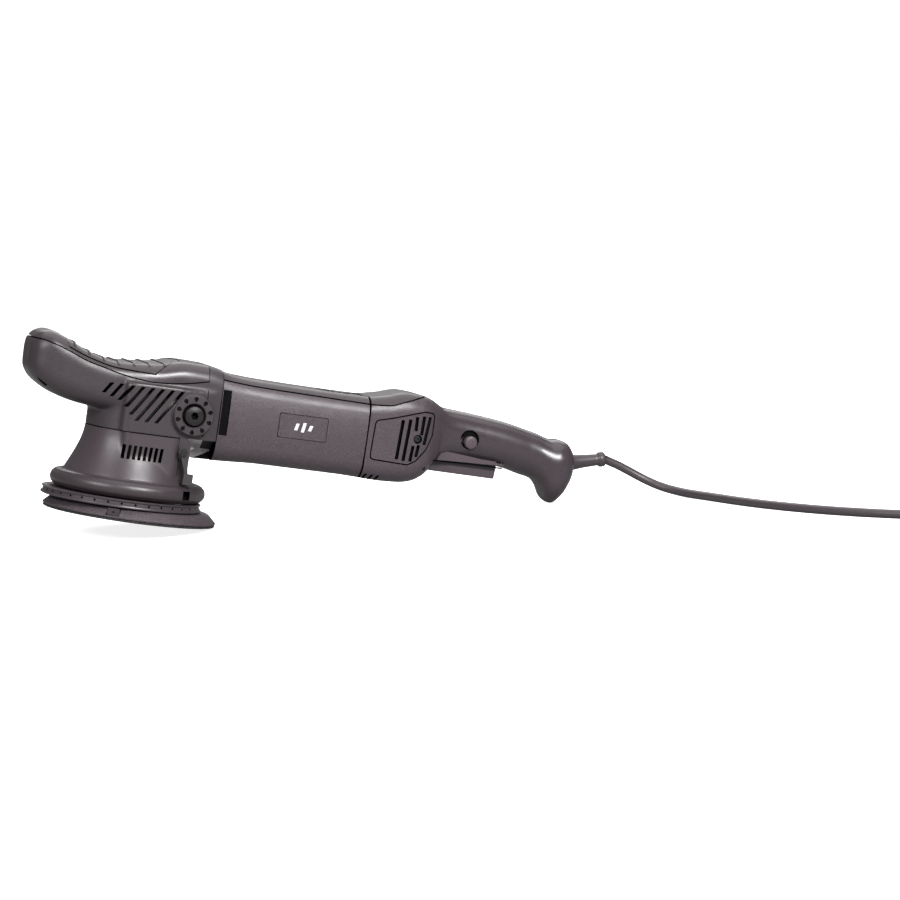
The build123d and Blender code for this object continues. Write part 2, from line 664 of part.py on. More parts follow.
def cord_coil():
    """Outer shape of the wound part, with the stub the cord arrives by and the one up to the plug."""
    cx, cy, heading, outer, lead = coil_frame()
    height = COIL_LAYERS * 2 * CORD_RADIUS
    inner = COIL_MEAN_RADIUS - 2 * 2 * CORD_RADIUS
    rim = outer + CORD_RADIUS - 0.4
    ring = cyl_z(rim, 0.3, height, cx, cy) - cyl_z(inner, -1, height + 1, cx, cy)
    turn = math.degrees(heading)
    arrive = Pos(CORD_ROUTE[-1][0], CORD_ROUTE[-1][1], CORD_ROUTE[-1][2]) * Rot(0, 0, turn) \
        * Pos(lead / 2 + 4, 0, 0) * Rot(0, 90, 0) * Cylinder(CORD_RADIUS, lead + 8)
    start, end = plug_line()
    leave = Plane(origin=start, z_dir=end - start) * Pos(0, 0, (end - start).length / 2) \
        * Cylinder(CORD_RADIUS, (end - start).length)
    return ring + arrive + leave - plug_parts()[0]


def plug_line():
    """The straight piece of cord from the top of the coil to the plug."""
    cx, cy, heading, outer, _ = coil_frame()
    top = COIL_LAYERS * 2 * CORD_RADIUS - CORD_RADIUS
    out = Vector(math.cos(heading), math.sin(heading))
    along = Vector(-math.sin(heading), math.cos(heading))
    start = Vector(cx, cy, top) + out * outer - along * 6
    return start, start + along * 52 + Vector(0, 0, 10.6 - top)


def plug_parts():
    """Flat-oval contour plug lying on the bench, and its two pins."""
    start, end = plug_line()
    run = end - start
    place = Plane(origin=end, x_dir=(0, 0, 1), z_dir=(run.X, run.Y, 0))
    body = turned([(0, 0), (4.6, 0), (5.2, 10), (7, 16), (9.6, 20), (10.4, 24), (10.4, 38), (0, 38)])
    wide = [place * Pos(0, s * 4.2, 0) * body for s in (-1, 1)]
    shape = wide[0] + wide[1] + place * body
    pins = []
    for s in (-1, 1):
        pin = Pos(0, s * 9.5, 38 + 9.5) * fillet(Cylinder(2.4, 19).edges().sort_by(Axis.Z)[-1], 1.2)
        pins.append(place * pin)
    return shape, pins


# ---- output ----------------------------------------------------------------------------------------
def solids_of(shape):
    """Every solid in a shape or a list of shapes."""
    if isinstance(shape, (list, tuple, ShapeList)):
        found = []
        for one in shape:
            found += solids_of(one)
        return found
    return list(shape.solids())


def save(name, shape, tipped=True):
    """Writes one node, tipped with the tool unless it already lies on the bench."""
    solids = [TIP * s if tipped else s for s in solids_of(shape)]
    body = solids[0] if len(solids) == 1 else Compound(children=solids)
    body.label = name
    export_step(body, f"parts/{name}.step")


def main():
    os.makedirs("parts", exist_ok=True)
    cover, pad, lower = head_parts()
    save("palm_cover", cover)
    save("palm_pad", pad)
    save("head_shell", lower)
    save("detent_disc_left", detent_disc(-1))
    save("detent_disc_right", detent_disc(1))
    save("disc_bolts", disc_bolts())
    save("gear_housing", gear_housing())
    save("bearing_plate", bearing_plate())
    upper, lower_bearing = spindle_bearings()
    save("spindle_bearing_upper", upper)
    save("spindle_bearing_lower", lower_bearing)
    shroud, bumper = shroud_parts()
    save("shroud", shroud)
    save("bumper_ring", bumper)
    save("shroud_latch", shroud_latch())
    save("latch_pin", latch_pin())
    save("spindle_shaft", spindle_shaft())
    save("driven_gear", driven_gear())
    save("eccentric_weight", eccentric())
    save("balance_ring", balance_ring())
    save("plate_bearings", plate_bearings())
    core, foam, hook = plate_parts()
    save("plate_core", core)
    save("plate_foam", foam)
    save("hook_layer", hook)
    save("plate_spindle", plate_spindle())
    save("plate_screw", plate_screw())
    housing, trim = motor_parts()
    save("motor_housing", housing)
    save("top_trim", trim)
    save("badge_plate", block(98.8, 135.2, -31.7, -30.9, 73.3, 90.7))
    save("air_grilles", air_grilles())
    save("control_panel", control_panel())
    save("speed_dial", speed_dial())
    save("armature_shaft", armature_shaft())
    save("armature_core", armature_core())
    save("armature_windings", armature_windings())
    save("commutator", commutator())
    save("cooling_fan", cooling_fan())
    save("drive_pinion", drive_pinion())
    stator, ends = stator_parts()
    save("stator_core", stator)
    save("stator_windings", ends)
    holders, carbons, springs = brush_parts()
    save("brush_holders", holders)
    save("carbon_brushes", carbons)
    save("brush_springs", springs)
    front, rear = motor_bearings()
    save("motor_bearing_front", front)
    save("motor_bearing_rear", rear)
    left, right, rear_pad, covers = handle_parts()
    save("handle_left", left)
    save("handle_right", right)
    save("rear_pad", rear_pad)
    save("brush_cover_left", covers[0])
    save("brush_cover_right", covers[1])
    save("brush_cover_screws", cover_screws())
    save("trigger", trigger())
    save("trigger_bezel", trigger_bezel())
    save("switch_body", switch_body())
    save("lock_button", lock_button())
    save("handle_screws", handle_screws())
    save("strain_relief", strain_relief())
    save("cord", cord(), tipped=False)
    save("cord_coil", cord_coil(), tipped=False)
    plug, pins = plug_parts()
    save("plug_body", plug, tipped=False)
    save("plug_pins", pins, tipped=False)


main()
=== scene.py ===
import json
import math
import random

import bmesh
import bpy
from bpy.props import FloatProperty, FloatVectorProperty, PointerProperty
from mathutils import Matrix, Vector


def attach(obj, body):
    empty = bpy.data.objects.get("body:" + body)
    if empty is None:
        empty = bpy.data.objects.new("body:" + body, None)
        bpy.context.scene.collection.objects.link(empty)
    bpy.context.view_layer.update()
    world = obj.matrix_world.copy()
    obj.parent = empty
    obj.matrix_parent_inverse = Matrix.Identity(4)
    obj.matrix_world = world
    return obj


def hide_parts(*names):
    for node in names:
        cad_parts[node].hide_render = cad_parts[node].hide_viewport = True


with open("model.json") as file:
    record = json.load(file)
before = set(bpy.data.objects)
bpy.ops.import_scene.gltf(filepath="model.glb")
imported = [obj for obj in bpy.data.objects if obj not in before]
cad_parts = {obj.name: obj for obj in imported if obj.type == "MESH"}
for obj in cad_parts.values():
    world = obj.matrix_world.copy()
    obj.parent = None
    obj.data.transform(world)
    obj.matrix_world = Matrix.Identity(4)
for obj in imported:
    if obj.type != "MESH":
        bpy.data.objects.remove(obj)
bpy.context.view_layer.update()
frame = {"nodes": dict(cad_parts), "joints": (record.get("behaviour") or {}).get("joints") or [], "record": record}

bl_info = {
    "name": "Dual Action Polisher",
    "version": (1, 0, 0),
    "blender": (4, 5, 0),
    "location": "View3D > Sidebar > Polisher",
    "description": "Builds the shells, plate, cord and finishes of a long body dual action polisher",
    "category": "Add Mesh",
}

# ---- driving sizes, millimetres in the tool's own upright frame --------------------------------------
# X runs along the motor, Z up the spindle from the hook face, -Y is the side with the lock button.
MM = 0.001                 # metres in a millimetre
DRAWN_AT = 50.0              # height on the spindle axis of the frame's eccentric joint
PLATE_RADIUS = 63.5
ECCENTRICITY = 4.0
NECK_RADIUS = 36.7
NECK_Z = 63.5
HEAD_END = 54.0
MOTOR_END = 166.0
PALM_END = 43.0
WALL = 3.0
FLANK_BULGE = 0.1          # how far the motor's flanks draw in above and below, as a share
DISC_X, DISC_Y, DISC_Z = 33.0, 40.0, 81.0
RING_SHIFT = -3.5
RING_HOLES = 36
BUTTON_X, BUTTON_Z = 249.0, 86.0
SCREW_X, SCREW_Z = 204.6, 84.2
DIAL_X = 147.0
RELIEF_START = (331.0, 79.3)
RELIEF_END = (359.5, 85.8)
CORD_D = 6.5
REACH = 60.0               # further out sideways than any shell
BADGE = (98.5, 135.5, 73.0, 91.0)      # x from, x to, z from, z to
BADGE_GAP = 0.45
PANEL = (131.0, 164.0, -15.0, 15.0)    # x from, x to, y from, y to
PANEL_GAP = 0.3
SIDES = (-1, 1)            # the lock button's side, and the other one
SLOT_TOP = 97.0
SLOT_LOWS = (89, 87, 85, 81, 76, 72, 72, 72)
SLOT_WIDTH = 2.9
SLOT_PITCH = 7.3
SLOT_LEAN = 34.0           # degrees
PIVOT_X, PIVOT_Z = 230.0, 73.5

# Sections across the tool: x, lowest z, highest z, half width, corner radius.
HEAD = [(-87.5, 99, 120, 14, 7), (-83, 93, 125, 23, 11), (-74.5, 87, 128, 28, 13),
        (-62.5, 81.5, 124.5, 30, 14), (-45.5, 78, 117, 31, 13), (-24, 76, 112.2, 32, 12),
        (4, 73, 114, 34, 12), (26, 70, 118, 34, 12), (44, 66, 117.5, 33, 12), (62, 62, 113, 31.5, 12)]
MOTOR = [(HEAD_END, 49, 115, 31.5, 12), (66, 49.5, 112.5, 31.5, 12), (90, 50.5, 111, 31.5, 12),
         (150, 50.5, 110, 31.5, 12), (MOTOR_END, 50, 110, 31.5, 12)]
HANDLE = [(MOTOR_END, 50, 110, 31.5, 12), (180, 49.5, 113, 31.5, 13), (196, 50, 117, 31.5, 14),
          (206, 52, 116.5, 30.5, 14), (214, 56, 114.5, 28.5, 15), (221, 61.5, 111.5, 23.5, 16),
          (228, 67, 108.6, 18.5, 15), (238, 70, 107.8, 17, 15), (252, 71, 106.6, 16.5, 15),
          (276, 70, 103.9, 16.5, 15), (294, 66.3, 100.4, 16.5, 15), (303, 64.4, 98.4, 17, 15),
          (309.5, 58.5, 96.4, 18.5, 16), (314.5, 50.6, 95.3, 20, 17), (320, 48, 96, 21, 18),
          (326, 53, 94.6, 20.5, 17), (330.5, 61, 90.4, 17, 14), (332.4, 66, 87, 13, 9.5),
          (333, 70, 84, 10, 6.5)]
PAD_LINE = [(-80, 125), (-68, 121.5), (-58, 117.5), (-46, 113), (-24, 108.2), (4, 107.2), (16, 109),
            (34, 113)]
PALM_SEAM = [(-95, 121.5), (-81, 121), (-72, 119), (-60, 115), (-47.5, 110), (-35, 107),
             (-23, 104), (-11, 102), (2, 101), (14, 101.5), (26, 103), (43, 106.5)]
SPINE_SEAM = [(HEAD_END, 109), (66, 107.9), (80, 107), (120, 106), (MOTOR_END, 105)]
PAD_SEAM = [(MOTOR_END, 105), (180, 106), (192, 110), (203, 114), (212, 117)]
SHROUD_LINE = [(36.7, 66.5), (36.8, 62), (37.4, 57), (38.8, 51.5), (42, 43), (45.4, 35.5), (47.6, 31),
               (49, 28)]
BELLY = (217.8, 220.6)     # solid wall between the rear housing and the trigger's room, x from and to
HALF_GAP = 0.12            # from the middle to each half of the grip
HALF_SCREWS = ((231, 90), (284, 86), (316, 72))
BEZEL_TOP = [(224, 70.2), (227.2, 75.6), (232, 77.2), (250, 75.6), (276.8, 72.6)]
BRUSH_COVER = [(171, 94), (186, 98), (200, 102.5), (208, 104.8), (216, 104.3), (216, 88),
               (212, 77), (205, 68), (199, 64.5), (170, 65.5)]


# ---- values a user may change -------------------------------------------------------------------------
class PolisherSizes(bpy.types.PropertyGroup):
    """Sizes of the details that part the shells and break their edges."""
    seam: FloatProperty(name="Seam width", description="Gap between two shells",
                        default=0.0010, min=0.0002, max=0.002, unit="LENGTH", subtype="DISTANCE")
    voxel: FloatProperty(name="Blend size", description="Grid on which the head's soft blends are made",
                         default=0.0011, min=0.0006, max=0.003, unit="LENGTH", subtype="DISTANCE")
    rib: FloatProperty(name="Pad rib height", description="Height of the palm pad's cross ribs",
                       default=0.0004, min=0.0002, max=0.002, unit="LENGTH", subtype="DISTANCE")


class PolisherFinish(bpy.types.PropertyGroup):
    """Colours and gloss of the finishes."""
    shell: FloatVectorProperty(name="Shell", description="Moulded nylon of the housings",
                               default=(0.050, 0.038, 0.045), size=3, min=0, max=1, subtype="COLOR")
    satin: FloatVectorProperty(name="Satin", description="Smooth moulding of the palm cover and grip",
                               default=(0.036, 0.027, 0.032), size=3, min=0, max=1, subtype="COLOR")
    soft: FloatVectorProperty(name="Soft", description="Soft overmould, bumper and pads",
                              default=(0.034, 0.026, 0.030), size=3, min=0, max=1, subtype="COLOR")
    rubber: FloatVectorProperty(name="Cord rubber", description="Sheath of the cord and its boot",
                                default=(0.040, 0.031, 0.036), size=3, min=0, max=1, subtype="COLOR")
    shell_gloss: FloatProperty(name="Shell roughness", description="Roughness of the housings",
                               default=0.38, min=0, max=1, subtype="FACTOR")
    floor: FloatVectorProperty(name="Floor", description="Plain pale studio floor",
                               default=(0.93, 0.93, 0.93), size=3, min=0, max=1, subtype="COLOR")


# ---- frame --------------------------------------------------------------------------------------------
def tool_matrix():
    """Takes a point from the tool's upright frame in millimetres to the row frame in metres."""
    joints = {j["name"]: j for j in frame["joints"]}
    up = Vector(joints["eccentric_spin"]["axis"]).normalized()
    along = Vector(joints["armature_spin"]["axis"]).normalized()
    origin = Vector(joints["eccentric_spin"]["pos_m"]) - up * DRAWN_AT * MM
    turn = Matrix((along, up.cross(along), up)).transposed().to_4x4()
    return Matrix.Translation(origin) @ turn @ Matrix.Scale(MM, 4)


TOOL = tool_matrix()


def sizes():
    return bpy.context.scene.polisher_sizes


def finish():
    return bpy.context.scene.polisher_finish


# ---- mesh tools ---------------------------------------------------------------------------------------
def mesh_from(verts, faces, material=None):
    """A closed mesh with its faces turned outwards; without a material of its own it takes the painted shade,
    which then lines the walls of every cut made with it.
    """
    mesh = bpy.data.meshes.new("shape")
    mesh.from_pydata([tuple(v) for v in verts], [], faces)
    work = bmesh.new()
    work.from_mesh(mesh)
    bmesh.ops.recalc_face_normals(work, faces=work.faces)
    work.to_mesh(mesh)
    work.free()
    mesh.materials.append(material or painted_shade())
    return mesh


def through_rings(rings, material=None, closed=False):
    """Skins equal rings of points; open ends are capped, closed joins the last ring to the first."""
    count = len(rings[0])
    verts = [p for ring in rings for p in ring]
    faces = []
    for i in range(len(rings) - 1):
        for j in range(count):
            k = (j + 1) % count
            faces.append((i * count + j, i * count + k, (i + 1) * count + k, (i + 1) * count + j))
    if closed:
        last = (len(rings) - 1) * count
        faces += [(last + j, last + (j + 1) % count, (j + 1) % count, j) for j in range(count)]
    else:
        faces.append(tuple(range(count)))
        faces.append(tuple((len(rings) - 1) * count + j for j in range(count)))
    return mesh_from(verts, faces, material)


def moved(mesh, matrix):
    mesh.transform(matrix)
    if matrix.determinant() < 0:
        mesh.flip_normals()
    return mesh


def prism(outline, y_from, y_to, material=None):
    """A straight prism over an outline of (x, z) points."""
    return through_rings([[(x, y, z) for x, z in outline] for y in (y_from, y_to)], material)


def upright(outline, z_from, z_to, material=None):
    """A straight prism over an outline of (x, y) points."""
    return through_rings([[(x, y, z) for x, y in outline] for z in (z_from, z_to)], material)


def rectangle(left, right, low, high):
    return [(left, low), (right, low), (right, high), (left, high)]


def slab(x, y, z, material=None):
    """A block from its three (low, high) pairs."""
    return prism(rectangle(*x, *z), y[0], y[1], material)


def across(x_from, x_to, z_from=20, z_to=140):
    """A block right across the tool between two places along it."""
    return slab((x_from, x_to), (-REACH, REACH), (z_from, z_to))


def round_points(radius, count):
    """Points evenly spaced round a circle."""
    turns = [2 * math.pi * k / count for k in range(count)]
    return [(radius * math.cos(a), radius * math.sin(a)) for a in turns]


def facing(side, x, y, z):
    """Frame at a point, with Z pointing out of one side of the tool."""
    return Matrix.Translation((x, y, z)) @ Matrix.Rotation(-side * math.pi / 2, 4, "X")


def rounded(outline, radius, steps=6):
    """An outline whose corners are arcs of the radius, or less where its sides are short."""
    points = []
    count = len(outline)
    for i in range(count):
        before, at, after = (Vector(outline[(i + d) % count]) for d in (-1, 0, 1))
        first, second = (before - at), (after - at)
        turn = first.angle(second)
        reach = min(radius / math.tan(turn / 2), 0.48 * first.length, 0.48 * second.length)
        start, end = at + first.normalized() * reach, at + second.normalized() * reach
        for k in range(steps + 1):
            t = k / steps
            points.append(tuple(start.lerp(at, t).lerp(at.lerp(end, t), t)))
    return points


def shrunk(outline, amount):
    """An outline moved in by the amount, corner by corner, towards its inside."""
    count = len(outline)
    area = sum(outline[i][0] * outline[(i + 1) % count][1] - outline[(i + 1) % count][0] * outline[i][1]
               for i in range(count))
    sign = 1 if area > 0 else -1
    made = []
    for i in range(count):
        before, at, after = (Vector(outline[(i + d) % count]) for d in (-1, 0, 1))
        a, b = (at - before).normalized(), (after - at).normalized()
        n = (Vector((-a.y, a.x)) + Vector((-b.y, b.x))) * sign
        n.normalize()
        lean = max(0.35, n.dot(Vector((-a.y, a.x)) * sign))
        made.append(tuple(at + n * (amount / lean)))
    return made


def turned(profile, material=None, steps=96, place=None, closed=True):
    """A (radius, z) profile turned about Z: closed on itself, or open with a flat cap at each end."""
    rings = []
    for i in range(steps):
        a = 2 * math.pi * i / steps
        rings.append([(r * math.cos(a), r * math.sin(a), z) for r, z in profile])
    if closed:
        mesh = through_rings(rings, material, closed=True)
    else:
        rows = [[rings[i][j] for i in range(steps)] for j in range(len(profile))]
        mesh = through_rings(rows, material)
    return moved(mesh, place) if place else mesh


def rod(radius, start, end, material=None, steps=48, edge=0.0):
    """A cylinder from start to end with its rims broken by edge."""
    start, end = Vector(start), Vector(end)
    length = (end - start).length
    profile = [(radius - edge, 0), (radius, edge), (radius, length - edge), (radius - edge, length)]
    if not edge:
        profile = [(radius, 0), (radius, length)]
    turn = (end - start).to_track_quat("Z", "Y").to_matrix().to_4x4()
    return turned(profile, material, steps, Matrix.Translation(start) @ turn, closed=False)


def eased(rows, step):
    """Rows of numbers led by x, filled in so that each number runs smoothly and without overshoot."""
    width = len(rows[0])
    slopes = []
    for c in range(1, width):
        steps = [(b[c] - a[c]) / (b[0] - a[0]) for a, b in zip(rows, rows[1:])]
        run = [b[0] - a[0] for a, b in zip(rows, rows[1:])]
        inner = []
        for k in range(len(steps) - 1):
            if steps[k] * steps[k + 1] <= 0:
                inner.append(0.0)
                continue
            w1, w2 = 2 * run[k + 1] + run[k], run[k + 1] + 2 * run[k]
            inner.append((w1 + w2) / (w1 / steps[k] + w2 / steps[k + 1]))
        slopes.append([steps[0]] + inner + [steps[-1]])
    made = []
    for k, (a, b) in enumerate(zip(rows, rows[1:])):
        run = b[0] - a[0]
        parts = max(1, math.ceil(run / step))
        for n in range(parts):
            t = n / parts
            h = (2 * t ** 3 - 3 * t ** 2 + 1, t ** 3 - 2 * t ** 2 + t,
                 3 * t ** 2 - 2 * t ** 3, t ** 3 - t ** 2)
            row = [a[0] + t * run]
            for c in range(1, width):
                m = slopes[c - 1]
                row.append(h[0] * a[c] + h[1] * run * m[k] + h[2] * b[c] + h[3] * run * m[k + 1])
            made.append(tuple(row))
    return made + [tuple(rows[-1])]


def section(x, low, high, half, corner, inset=0.0, bulge=0.0, arc=9, side=5):
    """Points round a rounded rectangle across X; bulge draws its flanks in above and below."""
    half, low, high = half - inset, low + inset, high - inset
    corner = min(max(corner - inset, 1.0), 0.49 * min(2 * half, high - low))
    points = []
    corners = [(half - corner, high - corner, 0), (-half + corner, high - corner, 90),
               (-half + corner, low + corner, 180), (half - corner, low + corner, 270)]
    for i, (cy, cz, turn) in enumerate(corners):
        for k in range(arc + 1):
            a = math.radians(turn + 90 * k / arc)
            points.append(Vector((x, cy + corner * math.cos(a), cz + corner * math.sin(a))))
        ny, nz, n_turn = corners[(i + 1) % 4]
        a = math.radians(n_turn)
        goal = Vector((x, ny + corner * math.cos(a), nz + corner * math.sin(a)))
        last = points[-1].copy()
        points += [last.lerp(goal, k / side) for k in range(1, side)]
    middle, reach = (low + high) / 2, (high - low) / 2
    for point in points:
        point.y *= 1 - bulge * ((point.z - middle) / reach) ** 2
    return points


def loft(rows, inset=0.0, step=2.0, material=None, bulge=0.0):
    return through_rings([section(*row, inset=inset, bulge=bulge) for row in eased(rows, step)], material)


def joined(meshes):
    """Several meshes that don't touch, as one."""
    work = bmesh.new()
    for mesh in meshes:
        work.from_mesh(mesh)
    made = bpy.data.meshes.new("shape")
    work.to_mesh(made)
    work.free()
    made.materials.append(meshes[0].materials[0])
    return made


def several(meshes):
    """Meshes with materials of their own, kept apart but in one object's data."""
    work = bmesh.new()
    made = bpy.data.meshes.new("shape")
    for mesh in meshes:
        start = len(work.faces)
        work.from_mesh(mesh)
        work.faces.ensure_lookup_table()
        table = []
        for material in mesh.materials:
            if material.name not in [m.name for m in made.materials]:
                made.materials.append(material)
            table.append([m.name for m in made.materials].index(material.name))
        for face in work.faces[start:]:
            face.material_index = table[min(face.material_index, len(table) - 1)]
    work.to_mesh(made)
    work.free()
    return made


def worked(mesh, *modifiers):
    """The mesh after modifiers, each given as (type, {setting: value})."""
    obj = bpy.data.objects.new("work", mesh)
    bpy.context.scene.collection.objects.link(obj)
    for kind, settings in modifiers:
        modifier = obj.modifiers.new(kind.lower(), kind)
        for key, value in settings.items():
            setattr(modifier, key, value)
    bpy.context.view_layer.update()
    made = bpy.data.meshes.new_from_object(obj.evaluated_get(bpy.context.evaluated_depsgraph_get()))
    bpy.data.objects.remove(obj)
    return made


def boolean(base, operation, *tools):
    """Base after each tool is taken off it, added to it or met with it."""
    for tool in tools:
        other = bpy.data.objects.new("tool", tool)
        bpy.context.scene.collection.objects.link(other)
        base = worked(base, ("BOOLEAN", {"object": other, "operation": operation, "solver": "MANIFOLD",
                                         "material_mode": "TRANSFER"}))
        bpy.data.objects.remove(other)
        if not base.polygons:
            raise RuntimeError(f"{operation} left nothing")
    return base


def cut(base, *tools):
    return boolean(base, "DIFFERENCE", *tools)


def add(base, *tools):
    return boolean(base, "UNION", *tools)


def meet(base, *tools):
    return boolean(base, "INTERSECT", *tools)


def softened(mesh, voxel, passes, material):
    """One skin over a union of shapes, with its inside corners blended."""
    made = worked(mesh, ("REMESH", {"mode": "VOXEL", "voxel_size": voxel}),
                  ("SMOOTH", {"factor": 0.5, "iterations": passes}))
    made.materials.clear()
    made.materials.append(material)
    return made


def sharpened(mesh, angle):
    """Smooth shading with crisp edges where two faces meet at more than the angle."""
    work = bmesh.new()
    work.from_mesh(mesh)
    bmesh.ops.remove_doubles(work, verts=work.verts, dist=1e-7)
    bmesh.ops.dissolve_degenerate(work, edges=work.edges, dist=1e-7)
    limit = math.radians(angle)
    for face in work.faces:
        face.smooth = True
    for edge in work.edges:
        edge.smooth = len(edge.link_faces) == 2 and edge.calc_face_angle(0) < limit
    work.to_mesh(mesh)
    work.free()


def place(name, mesh, body, slot, *nodes, angle=34, edge=0.0, tool=True):
    """Puts a finished mesh in the scene on its body, for the CAD nodes it stands for."""
    if tool:
        mesh.transform(TOOL)
    obj = bpy.data.objects.new(name, mesh)
    bpy.context.scene.collection.objects.link(obj)
    if edge:
        made = worked(mesh, ("BEVEL", {"width": edge * MM, "segments": 2, "limit_method": "ANGLE",
                                       "angle_limit": math.radians(angle), "use_clamp_overlap": True}))
        obj.data = made
    sharpened(obj.data, angle)
    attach(obj, body)
    if nodes:
        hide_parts(*nodes)
    return obj


# ---- finishes -----------------------------------------------------------------------------------------
def node_group(name, inputs, outputs):
    """An empty shader group with float inputs (name, default) and named float outputs."""
    group = bpy.data.node_groups.new(name, "ShaderNodeTree")
    for label, default in inputs:
        socket = group.interface.new_socket(name=label, in_out="INPUT", socket_type="NodeSocketFloat")
        socket.default_value = default
    for label in outputs:
        group.interface.new_socket(name=label, in_out="OUTPUT", socket_type="NodeSocketFloat")
    return group, group.nodes.new("NodeGroupInput"), group.nodes.new("NodeGroupOutput")


def noise(tree, scale, detail=2.0, rough=0.5, stretch=None):
    """A noise texture on the piece's own coordinates, in metres."""
    where = tree.nodes.new("ShaderNodeTexCoord")
    tex = tree.nodes.new("ShaderNodeTexNoise")
    tex.inputs["Scale"].default_value = scale
    tex.inputs["Detail"].default_value = detail
    tex.inputs["Roughness"].default_value = rough
    source = where.outputs["Object"]
    if stretch:
        mapping = tree.nodes.new("ShaderNodeMapping")
        mapping.inputs["Scale"].default_value = stretch
        tree.links.new(source, mapping.inputs["Vector"])
        source = mapping.outputs["Vector"]
    tree.links.new(source, tex.inputs["Vector"])
    return tex


def maths(tree, operation, first, second):
    node = tree.nodes.new("ShaderNodeMath")
    node.operation = operation
    for socket, value in zip(node.inputs, (first, second)):
        if isinstance(value, (int, float)):
            socket.default_value = value
        else:
            tree.links.new(value, socket)
    return node.outputs[0]


def grain_group():
    """Spark eroded mould grain: a height, and how far gloss and colour shift with it."""
    found = bpy.data.node_groups.get("Mould grain")
    if found:
        return found
    group, given, result = node_group("Mould grain", [("Size", 900.0), ("Depth", 1.0)],
                                      ["Height", "Speckle"])
    coarse = noise(group, 900.0, 3.0, 0.6)
    fine = noise(group, 2600.0, 2.0, 0.6)
    group.links.new(given.outputs["Size"], coarse.inputs["Scale"])
    group.links.new(maths(group, "MULTIPLY", given.outputs["Size"], 2.7), fine.inputs["Scale"])
    both = maths(group, "ADD", coarse.outputs["Fac"], maths(group, "MULTIPLY", fine.outputs["Fac"], 0.5))
    group.links.new(maths(group, "MULTIPLY", both, given.outputs["Depth"]), result.inputs["Height"])
    group.links.new(coarse.outputs["Fac"], result.inputs["Speckle"])
    return group


MARKS_RANGE = (0.1, 0.45)    # where the mask of the handling marks starts and ends


def handling_group():
    """Faint handling marks: a soft mask with cloudy patches and fine rubs."""
    found = bpy.data.node_groups.get("Handling marks")
    if found:
        return found
    group, given, result = node_group("Handling marks", [("Amount", 1.0)], ["Mask"])
    cloud = noise(group, 22.0, 4.0, 0.6)
    rub = noise(group, 120.0, 3.0, 0.7, (1.0, 1.0, 0.2))
    mixed = maths(group, "MULTIPLY", cloud.outputs["Fac"], rub.outputs["Fac"])
    group.links.new(maths(group, "MULTIPLY", mixed, given.outputs["Amount"]), result.inputs["Mask"])
    return group


def grouped(tree, group, **values):
    """A shader group placed in a material, with its named inputs set."""
    node = tree.nodes.new("ShaderNodeGroup")
    node.node_tree = group
    for name, value in values.items():
        node.inputs[name].default_value = value
    return node


def toned(colour, share):
    """A colour made lighter or darker."""
    return tuple(c * share for c in colour)


def blend_colour(tree, factor, low, high):
    """A mix of two colours, each a plain one or a socket."""
    mix = tree.nodes.new("ShaderNodeMix")
    mix.data_type = "RGBA"
    for socket, colour in ((mix.inputs[6], low), (mix.inputs[7], high)):
        if isinstance(colour, tuple):
            socket.default_value = (*colour, 1)
        else:
            tree.links.new(colour, socket)
    tree.links.new(factor, mix.inputs[0])
    return mix.outputs[2]


def remap(tree, value, low, high, start=0.3, end=0.7):
    node = tree.nodes.new("ShaderNodeMapRange")
    node.inputs["From Min"].default_value = start
    node.inputs["From Max"].default_value = end
    node.inputs["To Min"].default_value = low
    node.inputs["To Max"].default_value = high
    tree.links.new(value, node.inputs["Value"])
    return node.outputs["Result"]


def along_tool(tree, axis, start, end):
    """0 to 1 between two places on one of the tool's own axes, in millimetres."""
    where = tree.nodes.new("ShaderNodeTexCoord")
    dot = tree.nodes.new("ShaderNodeVectorMath")
    dot.operation = "DOT_PRODUCT"
    way = Vector(TOOL.col[axis][:3]).normalized()
    dot.inputs[1].default_value = way
    tree.links.new(where.outputs["Object"], dot.inputs[0])
    base = way.dot(TOOL.to_translation())
    return remap(tree, dot.outputs["Value"], 0, 1, base + start * MM, base + end * MM)


def shader(name):
    """A new material, its tree and its Principled shader; or the one made before, with no tree."""
    found = bpy.data.materials.get(name)
    if found:
        return found, None, None
    material = bpy.data.materials.new(name)
    material.use_nodes = True
    return material, material.node_tree, material.node_tree.nodes["Principled BSDF"]


def bumped(tree, target, height, distance, strength=1.0):
    bump = tree.nodes.new("ShaderNodeBump")
    bump.inputs["Distance"].default_value = distance
    bump.inputs["Strength"].default_value = strength
    tree.links.new(height, bump.inputs["Height"])
    tree.links.new(bump.outputs["Normal"], target.inputs["Normal"])


def plastic(name, colour, roughness, size=900.0, depth=0.00004, spread=0.12, coat=0.0):
    """Moulded plastic or rubber: fine grain, uneven gloss, and a colour that drifts a little."""
    material, tree, skin = shader(name)
    if tree is None:
        return material
    grain = grouped(tree, grain_group(), Size=size)
    marks = grouped(tree, handling_group())
    light = tuple(min(1.0, c) for c in toned(colour, 1 + 2.2 * spread))
    deep = toned(colour, 1 - 1.6 * spread)
    tree.links.new(blend_colour(tree, remap(tree, grain.outputs["Speckle"], 0, 1), deep, light),
                   skin.inputs["Base Color"])
    rubbed = remap(tree, marks.outputs["Mask"], roughness - 0.05, roughness + 0.07, *MARKS_RANGE)
    speckled = remap(tree, grain.outputs["Speckle"], -0.05, 0.05)
    tree.links.new(maths(tree, "ADD", rubbed, speckled), skin.inputs["Roughness"])
    skin.inputs["Coat Weight"].default_value = coat
    skin.inputs["Coat Roughness"].default_value = 0.2
    bumped(tree, skin, grain.outputs["Height"], depth)
    return material


